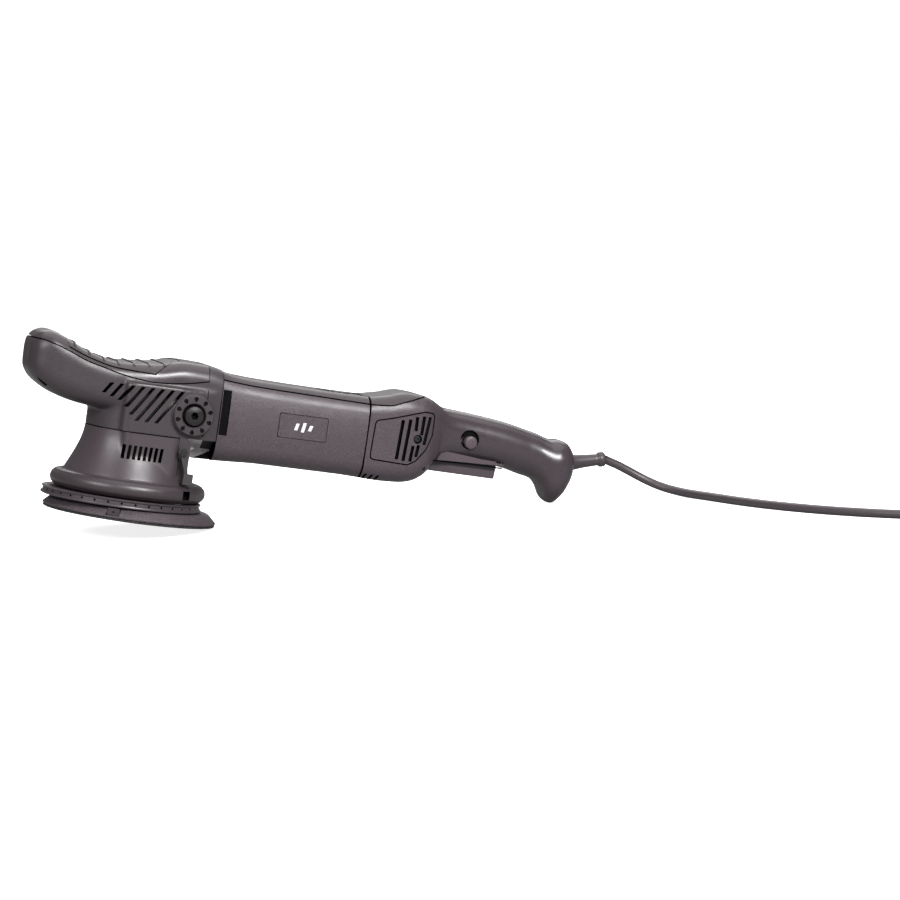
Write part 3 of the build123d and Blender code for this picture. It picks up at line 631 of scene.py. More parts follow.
def metal(name, colour, roughness, stretch=(1.0, 1.0, 1.0), size=700.0, depth=0.00003, metallic=1.0):
    """Bare or plated metal with machining streaks along one way."""
    material, tree, skin = shader(name)
    if tree is None:
        return material
    streak = noise(tree, size, 3.0, 0.6, stretch)
    worn = remap(tree, grouped(tree, handling_group()).outputs["Mask"], 0, 1, *MARKS_RANGE)
    tree.links.new(blend_colour(tree, worn, colour, toned(colour, 0.8)), skin.inputs["Base Color"])
    tree.links.new(remap(tree, streak.outputs["Fac"], roughness - 0.08, roughness + 0.1),
                   skin.inputs["Roughness"])
    skin.inputs["Metallic"].default_value = metallic
    bumped(tree, skin, streak.outputs["Fac"], depth)
    return material


def casting_finish():
    """Casting painted near black as shade, since it is seen only in the dim inside of the head; its rib below the
    motor is left bare.
    """
    material, tree, skin = shader("gear casting")
    if tree is None:
        return material
    rough = noise(tree, 420.0, 4.0, 0.6)
    bare = maths(tree, "MULTIPLY", along_tool(tree, 2, 67.5, 66.5), along_tool(tree, 0, 28.5, 30))
    pitted = remap(tree, rough.outputs["Fac"], 0, 1)
    # Painted shade: this near black stands for the dim inside of the head behind the slots.
    painted_inner_shade = blend_colour(tree, pitted, (0.006, 0.0055, 0.006), (0.012, 0.011, 0.012))
    cast = blend_colour(tree, pitted, (0.62, 0.61, 0.6), (0.85, 0.84, 0.83))
    tree.links.new(blend_colour(tree, bare, painted_inner_shade, cast), skin.inputs["Base Color"])
    tree.links.new(bare, skin.inputs["Metallic"])
    tree.links.new(remap(tree, rough.outputs["Fac"], 0.34, 0.5), skin.inputs["Roughness"])
    bumped(tree, skin, rough.outputs["Fac"], 0.00015)
    return material


def hooks():
    """Black hook fabric: short bristles seen as a tight field of points."""
    material, tree, skin = shader("hook fabric")
    if tree is None:
        return material
    where = tree.nodes.new("ShaderNodeTexCoord")
    cells = tree.nodes.new("ShaderNodeTexVoronoi")
    cells.inputs["Scale"].default_value = 900.0
    tree.links.new(where.outputs["Object"], cells.inputs["Vector"])
    tree.links.new(blend_colour(tree, remap(tree, cells.outputs["Distance"], 0, 1, 0.0, 0.6),
                                (0.055, 0.05, 0.052), (0.01, 0.009, 0.01)), skin.inputs["Base Color"])
    skin.inputs["Roughness"].default_value = 0.9
    bumped(tree, skin, cells.outputs["Distance"], 0.0006)
    return material


def painted_shade():
    """Painted shade: a near black that stands for the unlit inside of slots, gaps and recesses."""
    material = plastic("painted recess shade", (0.003, 0.0026, 0.0028), 0.8, depth=0.00001, spread=0.3)
    material.node_tree.nodes["Principled BSDF"].inputs["Specular IOR Level"].default_value = 0.08
    return material


def shell_finish():
    return plastic("shell nylon", tuple(finish().shell), finish().shell_gloss, 1150.0, 0.00011, 0.2)


def grip_finish():
    """Grained on the rear housing, running into a darker satin on the grip."""
    material, tree, skin = shader("grip nylon")
    if tree is None:
        return material
    share = along_tool(tree, 0, 204, 232)
    grain = grouped(tree, grain_group(), Size=1150.0)
    speckle = remap(tree, grain.outputs["Speckle"], 0, 1)
    shell, satin = finish().shell, finish().satin
    grained = blend_colour(tree, speckle, toned(shell, 0.68), toned(shell, 1.44))
    smooth = blend_colour(tree, speckle, toned(satin, 0.9), toned(satin, 1.12))
    tree.links.new(blend_colour(tree, share, grained, smooth), skin.inputs["Base Color"])
    rub = remap(tree, grouped(tree, handling_group()).outputs["Mask"], -0.05, 0.07, *MARKS_RANGE)
    base = remap(tree, share, finish().shell_gloss, 0.29, 0, 1)
    tree.links.new(maths(tree, "ADD", base, rub), skin.inputs["Roughness"])
    fade = remap(tree, share, 1.0, 0.18, 0, 1)
    bumped(tree, skin, maths(tree, "MULTIPLY", grain.outputs["Height"], fade), 0.00011)
    return material


def screw_finish():
    return metal("blackened screw", (0.05, 0.048, 0.05), 0.36, metallic=0.9)


def head_finish():
    # Painted shade: the shell's colour darkened to stand for the shade on the head, which is the same plastic.
    return plastic("head nylon", toned(finish().shell, 0.58), finish().shell_gloss + 0.04, 1300.0, 0.00005)


def satin_finish():
    return plastic("satin moulding", tuple(finish().satin), 0.31, 1500.0, 0.00002, 0.07)


def soft_finish():
    return plastic("soft overmould", tuple(finish().soft), 0.38, 1200.0, 0.00003, 0.09)


def plate_finish():
    return plastic("plate foam", toned(finish().shell, 0.85), 0.62, 700.0, 0.00025, 0.3)


def rubber_finish():
    return plastic("cord rubber", tuple(finish().rubber), 0.42, 1600.0, 0.00003)


# ---- cord and plug ------------------------------------------------------------------------------------
CORD_ROUTE = [(0.2235, 0, 0.0280), (0.231, -0.0003, 0.0246), (0.2405, -0.0015, 0.0188),
              (0.2505, -0.0045, 0.0126), (0.262, -0.012, 0.0066), (0.274, -0.029, 0.0033),
              (0.2825, -0.060, 0.0033),
              (0.2915, -0.098, 0.0033), (0.3055, -0.140, 0.0033), (0.325, -0.182, 0.0033),
              (0.349, -0.220, 0.0033), (0.376, -0.251, 0.0033), (0.405, -0.274, 0.0033),
              (0.436, -0.287, 0.0033)]
COIL_TURNS_WIDE = 4
COIL_LAYERS = 4
COIL_LEAD = 0.034
COIL_MEAN = 0.039
PLUG_REACH = 0.046
PLUG_HEIGHT = 0.0106


def relief_matrix():
    """Frame at the strain relief's start, Z along its axis, in millimetres."""
    (x0, z0), (x1, z1) = RELIEF_START, RELIEF_END
    return Matrix.Translation((x0, 0, z0)) @ Matrix.Rotation(math.atan2(x1 - x0, z1 - z0), 4, "Y")


def coil_points():
    """The wound part: turns side by side in layers, then up to the plug."""
    pitch = CORD_D * MM
    last = Vector(CORD_ROUTE[-1]) - Vector(CORD_ROUTE[-2])
    heading = math.atan2(last.y, last.x)
    outer = COIL_MEAN + 1.5 * pitch
    ahead = Vector((math.cos(heading), math.sin(heading), 0))
    left = Vector((-math.sin(heading), math.cos(heading), 0))
    centre = Vector(CORD_ROUTE[-1]) + ahead * COIL_LEAD + left * outer
    centre.z = 0
    points = []
    per_turn = 16
    quarter = per_turn // 4
    turns = COIL_TURNS_WIDE * COIL_LAYERS - 2
    last_column, last_layer = COIL_TURNS_WIDE - 1, COIL_LAYERS - 1
    for i in range(turns * per_turn + quarter + 1):
        angle = heading - math.pi / 2 + 2 * math.pi * i / per_turn
        turn = i / per_turn
        layer = min(int(turn / COIL_TURNS_WIDE), last_layer)
        done = turn - layer * COIL_TURNS_WIDE
        column = min(done, last_column)
        if layer % 2:
            column = last_column - column
        climb = max(0.0, done - last_column) if layer < last_layer else 0.0
        radius = outer - column * pitch
        height = pitch / 2 + (layer + climb) * (pitch - 0.0001) + 0.00005
        points.append(centre + Vector((math.cos(angle) * radius, math.sin(angle) * radius, height)))
    return points, centre, heading, outer


def cord_line():
    """The cord: free route, coil and the last run up to the plug, as one spline."""
    exit_point = TOOL @ Vector((RELIEF_END[0], 0, RELIEF_END[1]))
    points, centre, heading, outer = coil_points()
    out = Vector((math.cos(heading), math.sin(heading), 0))
    along = Vector((-math.sin(heading), math.cos(heading), 0))
    top = (COIL_LAYERS - 0.5) * CORD_D * MM
    plug_at = centre + out * outer + along * PLUG_REACH
    plug_at.z = PLUG_HEIGHT
    tail = []
    for share, height in ((0.3, top - 0.0006), (0.62, top - 0.006), (0.86, 0.0128)):
        spot = centre + out * outer + along * (share * PLUG_REACH)
        spot.z = height
        tail.append(spot)
    route = [exit_point] + [Vector(p) for p in CORD_ROUTE] + points + tail + [plug_at]
    curve = bpy.data.curves.new("cord", "CURVE")
    curve.dimensions = "3D"
    spline = curve.splines.new("NURBS")
    spline.points.add(len(route) - 1)
    for point, spot in zip(spline.points, route):
        point.co = (*spot, 1)
    spline.order_u = 3
    spline.use_endpoint_u = True
    spline.resolution_u = 8
    curve.bevel_depth = CORD_D * MM / 2
    curve.bevel_resolution = 5
    curve.use_fill_caps = True
    curve.materials.append(rubber_finish())
    cord = bpy.data.objects.new("mains_cord", curve)
    bpy.context.scene.collection.objects.link(cord)
    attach(cord, "housing")
    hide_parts("cord", "cord_coil")
    return cord, exit_point, plug_at, along


def plug_shape(plug_at, along):
    """Flat contour plug: ribbed neck, waisted body, and a rim round the pin face."""
    rows = []
    squareness = 2 / 2.6
    sections = [(0, 4.4, 4.4), (1, 4.9, 4.9), (12, 5.6, 5.4), (17, 8.4, 6.6), (21, 12.2, 8.4),
                (24, 14.0, 9.8), (31, 14.4, 10.2), (33, 13.4, 9.6), (35, 13.6, 9.8), (37.2, 14.0, 10.2),
                (38, 13.2, 9.5)]
    for z, wide, thick in eased(sections, 1.0):
        ridge = 0.45 * (math.sin((z - 2) * 2 * math.pi / 2.4) > 0.2) if 2 < z < 11 else 0.0
        ring = []
        for c, s in round_points(1, 40):
            ring.append((math.copysign(abs(c) ** squareness, c) * (thick - ridge),
                         math.copysign(abs(s) ** squareness, s) * (wide - ridge), z))
        rows.append(ring)
    mesh = through_rings(rows, rubber_finish())
    flat = Vector((0, 0, 1))
    turn = Matrix((flat, along.cross(flat), along)).transposed().to_4x4()
    return moved(mesh, Matrix.Translation(plug_at) @ turn @ Matrix.Scale(MM, 4))


# ---- gear head ----------------------------------------------------------------------------------------
def head_mass():
    """Soft skin over the palm grip, the round neck and the flat side panels."""
    material = head_finish()
    sides = [(-18, -38.5), (25, -38.5), (62, -30.2), (62, 30.2), (25, 38.5), (-18, 38.5)]
    whole = add(loft(HEAD, step=3.0, material=material),
                rod(NECK_RADIUS, (0, 0, 52), (0, 0, 92), material, 96),
                upright(rounded(sides, 7), 52, 99, material))
    return softened(whole, sizes().voxel / MM, 14, material)


def above_line(line, lift, top=160):
    """Everything above a seam drawn in X and Z, moved up or down by lift."""
    points = [(x, z + lift) for x, z in eased(line, 4.0)]
    return prism(points + [(points[-1][0], top), (points[0][0], top)], -REACH, REACH)


def head_slots():
    """Eight leaning air slots whose low ends step down towards the motor."""
    cutters = []
    for i, low in enumerate(SLOT_LOWS):
        top_x = -29 + SLOT_PITCH * i
        low_x = top_x - (SLOT_TOP - low) * math.tan(math.radians(SLOT_LEAN))
        outline = [(top_x, SLOT_TOP), (top_x + SLOT_WIDTH, SLOT_TOP), (low_x + SLOT_WIDTH, low), (low_x, low)]
        for y_from, y_to in ((-50, -22), (22, 50)):
            cutters.append(prism(outline, y_from, y_to))
    return joined(cutters)


def build_head():
    """Hollows the head, parts it at the palm seams and backs each seam with a lip."""
    mass = head_mass()
    gap = sizes().seam / MM / 2
    hollow = [(-81, 94.5, 124, 24, 12)] + HEAD[2:]
    flanks = [(-13, -34.6), (24, -34.6), (70, -26), (70, 26), (24, 34.6), (-13, 34.6)]
    cavity = add(loft(hollow, inset=3.4, step=6.0), rod(NECK_RADIUS - 3, (0, 0, 40), (0, 0, 92)),
                 upright(flanks, 40, 95))
    shell = cut(mass, cavity)
    trimmed = meet(shell, across(-120, HEAD_END - gap, NECK_Z + gap * 0.6, 160))
    cover = meet(trimmed, above_line(PALM_SEAM, gap), across(-120, PALM_END - gap, 60, 160))
    lower = cut(trimmed, meet(above_line(PALM_SEAM, -gap), across(-120, PALM_END, 60, 160)))
    lip = cut(loft(hollow, inset=1.3, step=4.0), cavity)
    band = cut(above_line(PALM_SEAM, -1.5), above_line(PALM_SEAM, 1.5))
    lip = meet(lip, band, across(-120, PALM_END + 1, 60, 160))
    end_lip = cut(loft(HEAD, inset=1.3, step=4.0), cavity)
    end_lip = meet(end_lip, across(PALM_END - 1.5, PALM_END + 1.5, 98, 160))
    place("seam_lip", several([lip, end_lip]), "housing", "shell_plastic")
    grooves = [slab((PALM_END - 0.3, PALM_END + 0.3), (s * 36.4 - 3, s * 36.4 + 3), (66, 108)) for s in SIDES]
    lower = cut(lower, head_slots(), *grooves)
    build_pad(cover)
    build_lower(lower)


def pad_zone(grow):
    """Outline of the palm pad from above, with a round nose and an arched rear end."""
    points = []
    for degrees in range(-70, 71, 10):
        a = math.radians(degrees)
        points.append((-14 + (38 + grow) * math.cos(a), (36 + grow) * math.sin(a)))
    points += [(-58 - grow, 30), (-66 - grow, 20), (-69 - grow, 8), (-69 - grow, -8), (-66 - grow, -20),
               (-58 - grow, -30)]
    return points


def build_pad(cover):
    """Palm cover with its inlaid pad and the pad's thin cross ribs."""
    gap = sizes().seam / MM
    core = loft(HEAD, inset=2.2, step=3.0)
    room = meet(upright(rounded(pad_zone(gap), 3, 3), 90, 160), above_line(PAD_LINE, -gap))
    cover = cut(cover, cut(room, core))
    cover.materials[0] = satin_finish()
    place("palm_cover_shell", cover, "housing", "soft_grip", "palm_cover")
    skin = loft(HEAD, inset=0.4, step=2.0, material=soft_finish())
    outer = loft(HEAD, inset=-sizes().rib / MM, step=2.0, material=soft_finish())
    ribs = []
    for i in range(7):
        x = -57 + 11.0 * i
        reach = 25 + 0.6 * i
        ribs.append(prism([(x, 150), (x + 1.3, 150), (x + 1.3, 95), (x, 95)], -reach, reach, soft_finish()))
    zone = meet(upright(rounded(pad_zone(0), 3, 3), 90, 160, soft_finish()), above_line(PAD_LINE, 0))
    pad = meet(zone, add(skin, meet(outer, joined(ribs))))
    pad = cut(pad, loft(HEAD, inset=2.0, step=3.0, material=soft_finish()))
    place("palm_pad_inlay", pad, "housing", "soft_grip", "palm_pad")


def build_lower(lower):
    """Head shell below the palm seam, with the bosses of the side handle threads."""
    holes = [rod(8.7, (DISC_X, s * 24, DISC_Z), (DISC_X, s * REACH, DISC_Z)) for s in SIDES]
    bosses = [turned([(8.7, 0), (15.6, 0), (15.6, 6.6), (15.0, 7.2), (8.7, 7.2)], head_finish(),
                     place=facing(s, DISC_X, s * 32.8, DISC_Z)) for s in SIDES]
    lower = add(cut(lower, *holes), *bosses)
    bracket = slab((26, 32), (-38.4, -33.6), (49.5, NECK_Z + 3), head_finish())
    lower = add(lower, cut(bracket, rod(1.6, (29, -45, 54), (29, -30, 54))))
    rib_line = [(53.6, 59.5), (49.5, 61.5), (38.2, 52.6), (38.6, 49.6), (41.4, 48.8), (53.6, 55.6)]
    bare = metal("bare casting", (0.27, 0.25, 0.26), 0.42, size=420.0, depth=0.00015)
    rib = prism(rib_line, -15.5, 15.5, bare)
    # Painted shade: near black blocks under the motor's front lip and next to the rib stand for the shade there.
    painted_shade_blocks = [prism([(42, 48.9), (53.7, 49.2), (53.7, 55.2)], -15, 15), slab((30, 37), (-15, 15), (56, 68))]
    place("casting_rib_with_painted_shade", several([rib] + painted_shade_blocks), "housing", "cast_aluminium")
    notch = prism([(-81, 92.2), (-73.5, 87.6), (-72.7, 88.8), (-80.2, 93.4)], -31, -20)
    lower = cut(lower, notch)
    place("gear_head_shell", lower, "housing", "shell_plastic", "head_shell")


def build_discs():
    """Detent discs with ten marks each, and the domed socket bolts in their middle."""
    for side, node in ((-1, "detent_disc_left"), (1, "detent_disc_right")):
        disc = turned([(8.5, 0), (14.8, 0), (14.8, 2.2), (14.1, 3), (9.3, 3), (8.5, 2.3)], head_finish())
        marks = []
        for i in range(10):
            spin = Matrix.Rotation(math.radians(36 * i + 18), 4, "Z")
            cap = turned([(1.6, 0), (1.6, 3)], steps=20, closed=False)
            marks.append(moved(cap, spin @ Matrix.Translation((12.3, 0, 2.3))))
            stem = slab((10.1, 12.0), (-0.6, 0.6), (2.3, 4))
            marks.append(moved(stem, spin))
        disc = cut(disc, joined(marks[::2]), joined(marks[1::2]))
        disc = moved(disc, facing(side, DISC_X, side * DISC_Y, DISC_Z))
        place(node + "_plate", disc, "housing", "shell_plastic", node)
    bolts = []
    black = metal("blackened steel", (0.045, 0.042, 0.044), 0.34, size=300.0, metallic=0.9)
    for side in SIDES:
        at = facing(side, DISC_X, side * DISC_Y, DISC_Z)
        dome = [(0.01, -14), (5, -14), (5, 0), (7.3, 0.2)]
        dome += [(7.3 - 0.02 * k ** 2 - 0.05 * k, 3.0 + 0.33 * k) for k in range(6)]
        dome += [(4.6, 5.05), (3.2, 5.3), (0.01, 5.35)]
        bolt = turned(dome, black, 64, closed=False)
        bolts.append(moved(cut(bolt, upright(round_points(2.9, 6), 1.6, 8)), at))
        # Painted shade: a near black ring fills the gap round each bolt.
        bolts.append(turned([(7.6, -0.4), (8.45, -0.4), (8.45, 0.6), (7.6, 0.6)], painted_shade(), place=at))
    place("side_bolts", several(bolts), "housing", "black_screw", "disc_bolts", angle=40)


# ---- shroud -------------------------------------------------------------------------------------------
def cone_profile(inset, low):
    rows = eased([(z, r) for r, z in SHROUD_LINE[::-1]], 1.5)
    profile = [(r - inset, z) for z, r in rows]
    return [(0.01, low), (profile[0][0], low)] + profile + [(0.01, profile[-1][1])]


def build_shroud():
    """Flared cone with flat sides, slots, a skirt and a closed rear wall."""
    skin = plastic("shroud nylon", toned(finish().shell, 0.85), 0.38, 1400.0, 0.00002, 0.06)
    gap = sizes().seam / MM / 2
    cone = turned(cone_profile(0, 24), skin, 128, closed=False)
    flanks = [(-16, -40), (24, -40), (34, -30), (34, 30), (24, 40), (-16, 40)]
    mass = softened(add(cone, upright(rounded(flanks, 9), 30, 68, skin)), 1.1, 22, skin)
    keep = across(-80, 30, 29, NECK_Z - gap)
    skirt = turned([(0.01, 24), (50, 24), (50, 28.4), (48, 29.8), (0.01, 29.8)], skin, 128, closed=False)
    body = add(meet(mass, keep), skirt)
    # Painted shade: this cutter leaves near black on the inside of the cone.
    inner = turned(cone_profile(2.6, 20), painted_shade(), 96, closed=False)
    body = cut(body, inner, slab((-14, 27.5), (-37, 37), (36, 62)), rod(33.8, (0, 0, 58), (0, 0, 70)))
    slots = []
    for i in range(8):
        x = -14.7 + 3.9 * i
        slots.append(prism([(x, 54.2), (x + 2.3, 54.2), (x + 1.5, 44), (x - 0.8, 44)], -60, 60))
    body = cut(body, joined(slots))
    body = add(body, slab((29.6, 32.6), (-34.8, 34.8), (30.6, NECK_Z - gap), skin))
    body = add(body, *[slab((32.2, 35.4), sorted((s * 24, s * 34.6)), (31, 60), skin) for s in SIDES])
    place("plate_shroud", body, "housing", "shell_plastic", "shroud")
    build_bumper()


def build_bumper():
    """Round soft ring with a fine parting groove and the window of the latch."""
    tube, radius, height = 6.5, 50.5, 22.5
    profile = []
    for k in range(48):
        a = 2 * math.pi * k / 48
        r = tube - (0.28 if k in (6, 42) else 0.0)
        profile.append((radius + r * math.cos(a), height + r * math.sin(a)))
    ring = turned(profile, soft_finish(), 160)
    ring = cut(ring, slab((32, 38), (-60, -36), (19.5, 26)))
    place("bumper", ring, "housing", "soft_grip", "bumper_ring")


# ---- plate --------------------------------------------------------------------------------------------
def build_plate():
    """Balance ring, foam and hook face."""
    tone = plastic("ring casting", toned(finish().shell, 0.8), 0.4, 1200.0, 0.00004, 0.1)
    profile = [(27, 12.5), (50, 12.5), (53.5, 9.8), (57.4, 9.4), (58.8, 9.9), (59, 10.6), (58.7, 11.3),
               (57.6, 11.6), (57.4, 14.1), (58.2, 14.4), (58.4, 15.0), (57.7, 15.5), (27, 15.5)]
    ring = turned(profile, tone, 160)
    holes = []
    for x, y in round_points(1, RING_HOLES):
        holes.append(rod(0.85, (x * 55, y * 55, 12.8), (x * 60, y * 60, 12.8), steps=16))
    ring = moved(cut(ring, joined(holes)), Matrix.Translation((RING_SHIFT, 0, 0)))
    place("counterweight_ring", ring, "eccentric", "cast_aluminium", "balance_ring", angle=28)
    middle = Matrix.Translation((ECCENTRICITY, 0, 0))
    foam = [(9, 1.7), (PLATE_RADIUS - 0.9, 1.7), (PLATE_RADIUS - 0.1, 2.2), (PLATE_RADIUS, 2.9),
            (PLATE_RADIUS - 0.4, 3.5), (58.3, 8.0), (57.6, 8.5), (56.6, 8.9), (55.6, 9.0), (50, 9.0),
            (50, 5), (9, 5)]
    pad = turned(foam, plate_finish(), 192)
    turn = Matrix.Rotation(math.radians(-22), 4, "Z")
    pocket = prism([(-5, 3.3), (5, 3.3), (5, 9.5), (-5, 9.5)], -70, -58, head_finish())
    pad = cut(pad, moved(pocket, turn))
    flat = prism([(-4.9, 3.4), (4.9, 3.4), (4.2, 8.6), (-4.2, 8.6)], -60.2, -56, head_finish())
    flat = cut(flat, rod(0.75, (0, -64, 6), (0, -59.4, 6), steps=16))
    pad = add(pad, moved(flat, turn))
    holes = joined([rod(4, (x, y, -3), (x, y, 12), steps=32) for x, y in round_points(36, 8)])
    pad = moved(cut(pad, holes), middle)
    place("foam_plate", pad, "plate", "plate_foam", "plate_foam", angle=30)
    dice = random.Random(11)
    rings = []
    steps = 360
    for i in range(steps):
        a = 2 * math.pi * i / steps
        rim = PLATE_RADIUS - 0.55 + dice.uniform(-0.45, 0.3)
        lift = dice.uniform(0.0, 0.35)
        profile = [(9, 0.0), (rim - 1.2, 0.0), (rim, 0.25 + lift), (rim - 0.1, 1.2), (rim - 0.6, 1.65),
                   (9, 1.65)]
        rings.append([(r * math.cos(a), r * math.sin(a), z) for r, z in profile])
    hook = cut(through_rings(rings, hooks(), closed=True), holes)
    place("hook_face", moved(hook, middle), "plate", "hook_fabric", "hook_layer", angle=50)


# ---- motor --------------------------------------------------------------------------------------------
def grown(rows):
    """The sections with both ends moved out, so that a cut runs right through."""
    return [(rows[0][0] - 2,) + rows[0][1:]] + rows[1:-1] + [(rows[-1][0] + 2,) + rows[-1][1:]]


def build_motor():
    """Motor shell with its outlet strips, spine trim, badge and dial panel."""
    gap = sizes().seam / MM / 2
    skin = shell_finish()
    outer = loft(MOTOR, step=4.0, material=skin, bulge=FLANK_BULGE)
    shell = cut(outer, loft(grown(MOTOR), inset=WALL, step=8.0, bulge=FLANK_BULGE))
    shell = meet(shell, across(HEAD_END + gap, MOTOR_END - gap))
    line = [(HEAD_END - 2, 109.2)] + SPINE_SEAM[1:-1] + [(MOTOR_END + 2, 105)]
    body = cut(shell, above_line(line, -gap))
    strips = [slab((54.9, 61.2), (s * 31 - 2.2, s * 31 + 2.2), (69, 102)) for s in SIDES]
    body = cut(body, *strips)
    # Painted shade: the strips that stand for the air grilles are near black, as the shade deep in the outlets.
    outlet_shade = [slab((54.7, 61.4), sorted((s * 26.5, s * 29.6)), (68.9, 102.1)) for s in SIDES]
    place("outlet_shade_strips", joined(outlet_shade), "housing", "vent_plastic", "air_grilles")
    frame_line = rounded(rectangle(*BADGE), 1.5, 4)
    body = cut(body, prism(frame_line, -40, -30.6), prism(frame_line, 30.6, 40))
    place("motor_shell", body, "housing", "shell_plastic", "motor_housing")
    trim = meet(shell, above_line(line, gap))
    trim = cut(trim, upright(rectangle(*PANEL), 107.2, 120))
    trim.materials[0] = soft_finish()
    place("spine_trim", trim, "housing", "soft_grip", "top_trim")
    build_badge()
    gloss = plastic("gloss insert", (0.02, 0.018, 0.02), 0.12, 1400.0, 0.000004, 0.1, coat=1.0)
    panel = upright(rounded(shrunk(rectangle(*PANEL), PANEL_GAP), 3), 106.6, 109.6, gloss)
    panel = cut(panel, rod(9.1, (DIAL_X, 0, 100), (DIAL_X, 0, 120), steps=64))
    place("dial_panel", panel, "housing", "gloss_panel", "control_panel", edge=0.5)
    build_dial()


def build_badge():
    """Plain plate on each side; the seen side's has three slanting bars of different height."""
    plates = []
    pale = plastic("badge paint", (0.62, 0.62, 0.62), 0.35, 1500.0, 0.00001, 0.04)
    for s in SIDES:
        near, far = sorted((s * 30.6, s * 31.75))
        outline = rounded(shrunk(rectangle(*BADGE), BADGE_GAP), 1.4, 4)
        plates.append(prism(outline, near, far, shell_finish()))
    middle_z = (BADGE[2] + BADGE[3]) / 2
    for k, tall in enumerate((5.0, 7.0, 4.0)):
        x = 110.5 + 5.2 * k
        low, high = middle_z - tall / 2, middle_z + tall / 2
        bar = [(x, low), (x + 2.4, low), (x + 3.6, high), (x + 1.2, high)]
        plates.append(prism(bar, -31.86, -31.7, pale))
    place("badge", several(plates), "housing", "shell_plastic", "badge_plate")


def build_dial():
    """Knurled speed wheel with a moulded pointer."""
    outline = []
    for i in range(120):
        a = 2 * math.pi * i / 120
        r = 8.35 + 0.22 * math.cos(24 * a)
        outline.append((DIAL_X + r * math.cos(a), r * math.sin(a)))
    tone = plastic("dial plastic", (0.022, 0.02, 0.022), 0.4, 1200.0, 0.00003, 0.1)
    dial = upright(outline, 105.2, 110.4, tone)
    dial = cut(dial, slab((DIAL_X - 0.7, DIAL_X + 0.7), (2, 7.4), (109.8, 113)),
               turned([(3.2, 110), (5.9, 110), (5.9, 112), (3.2, 112)], tone,
                      place=Matrix.Translation((DIAL_X, 0, 0))))
    place("speed_wheel", dial, "speed_dial", "vent_plastic", "speed_dial", edge=0.3)


# ---- handle -------------------------------------------------------------------------------------------
def cover_slots():
    """Slots of a brush cover, broken round its screw, on both sides of the tool."""
    cutters = []
    lines = [((191.4, 97), (190.2, 67.6)), ((197, 98), (195.4, 67)), ((202, 100.5), (202.2, 90)),
             ((201.6, 79), (200.6, 67.2)), ((207.4, 101.5), (207, 87.5)), ((205.8, 80), (204.8, 71)),
             ((212.2, 101.5), (210, 80.5))]
    for (top_x, top_z), (low_x, low_z) in lines:
        outline = [(top_x - 1.3, top_z), (top_x + 1.3, top_z), (low_x + 1.3, low_z), (low_x - 1.3, low_z)]
        cutters.append(prism(outline, -40, -24))
        cutters.append(prism(outline, 24, 40))
    return joined(cutters)


def build_brush_doors(outline, skin):
    """Slotted covers over the brushes, each with its sunk socket screw."""
    screws = []
    screw_line = [(0.01, 0), (2.6, 0), (2.6, 1.5), (2.2, 2.0), (1.5, 2.1), (1.5, 0.9), (0.01, 0.9)]
    doors = ((-1, "brush_door_left", "brush_cover_left"), (1, "brush_door_right", "brush_cover_right"))
    for s, name, node in doors:
        near, far = sorted((s * 26.5, s * 45))
        wall = cut(loft(HANDLE[:6], step=1.5, material=skin), loft(grown(HANDLE[:6]), inset=WALL, step=4.0))
        screw_room = rod(3.4, (SCREW_X, s * 27, SCREW_Z), (SCREW_X, s * 40, SCREW_Z), steps=40)
        door = cut(meet(wall, prism(outline, near, far)), cover_slots(), screw_room)
        place(name, door, "housing", "shell_plastic", node)
        at = facing(s, SCREW_X, s * 27.1, SCREW_Z)
        screws.append(turned(screw_line, screw_finish(), 40, at, closed=False))
    place("cover_screws", several(screws), "housing", "black_screw", "brush_cover_screws")


def build_rear_pad(core, gap):
    """Soft pad on top of the rear housing; gives back the room that the shell leaves for it."""
    line = eased([(MOTOR_END - 2, 105)] + PAD_SEAM[1:], 2.0)
    above = [(212, 130), (MOTOR_END - 2, 130)]
    room = prism([(x, z - gap) for x, z in line] + above, -REACH, REACH)
    zone = prism([(x, z + gap) for x, z in line] + above, -REACH, REACH)
    pad = meet(cut(loft(HANDLE, inset=0.05, step=1.5, material=soft_finish()), core), zone,
               across(MOTOR_END + gap, 340))
    place("rear_top_pad", pad, "housing", "soft_grip", "rear_pad")
    return cut(room, core)


def trigger_pocket():
    """Room for the trigger, its bezel and the switch below the grip."""
    bezel_line = [(BELLY[1], 50), (BEZEL_TOP[-1][0], 50)] + BEZEL_TOP[:0:-1] + [(BELLY[1], 77.2)]
    return (slab((BELLY[1], BEZEL_TOP[-1][0]), (-40, 40), (50, 70.3)), prism(bezel_line, -14.3, 14.3),
            slab((220.9, 276.5), (-11.6, 11.6), (70, 82.5)))


def button_room():
    """Dished recess of the lock button, lined with painted shade, and the hole that the button slides in."""
    dish = turned([(0.01, 0), (6.6, 0), (7.2, 0.8), (7.3, 9), (0.01, 9)], painted_shade(), 64,
                  facing(-1, BUTTON_X - 0.9, -13.7, BUTTON_Z + 2.1), closed=False)
    return dish, rod(5.05, (BUTTON_X, -20, BUTTON_Z), (BUTTON_X, -8, BUTTON_Z), steps=48)


def belly_vents():
    """Three slanting slits on each side of the rear housing's belly."""
    vents = []
    for i in range(3):
        x = 165.5 + 4.8 * i
        slit = [(x, 46), (x + 2, 46), (x + 5.2, 54), (x + 3.2, 54)]
        vents += [prism(slit, -40, -6), prism(slit, 6, 40)]
    return joined(vents)


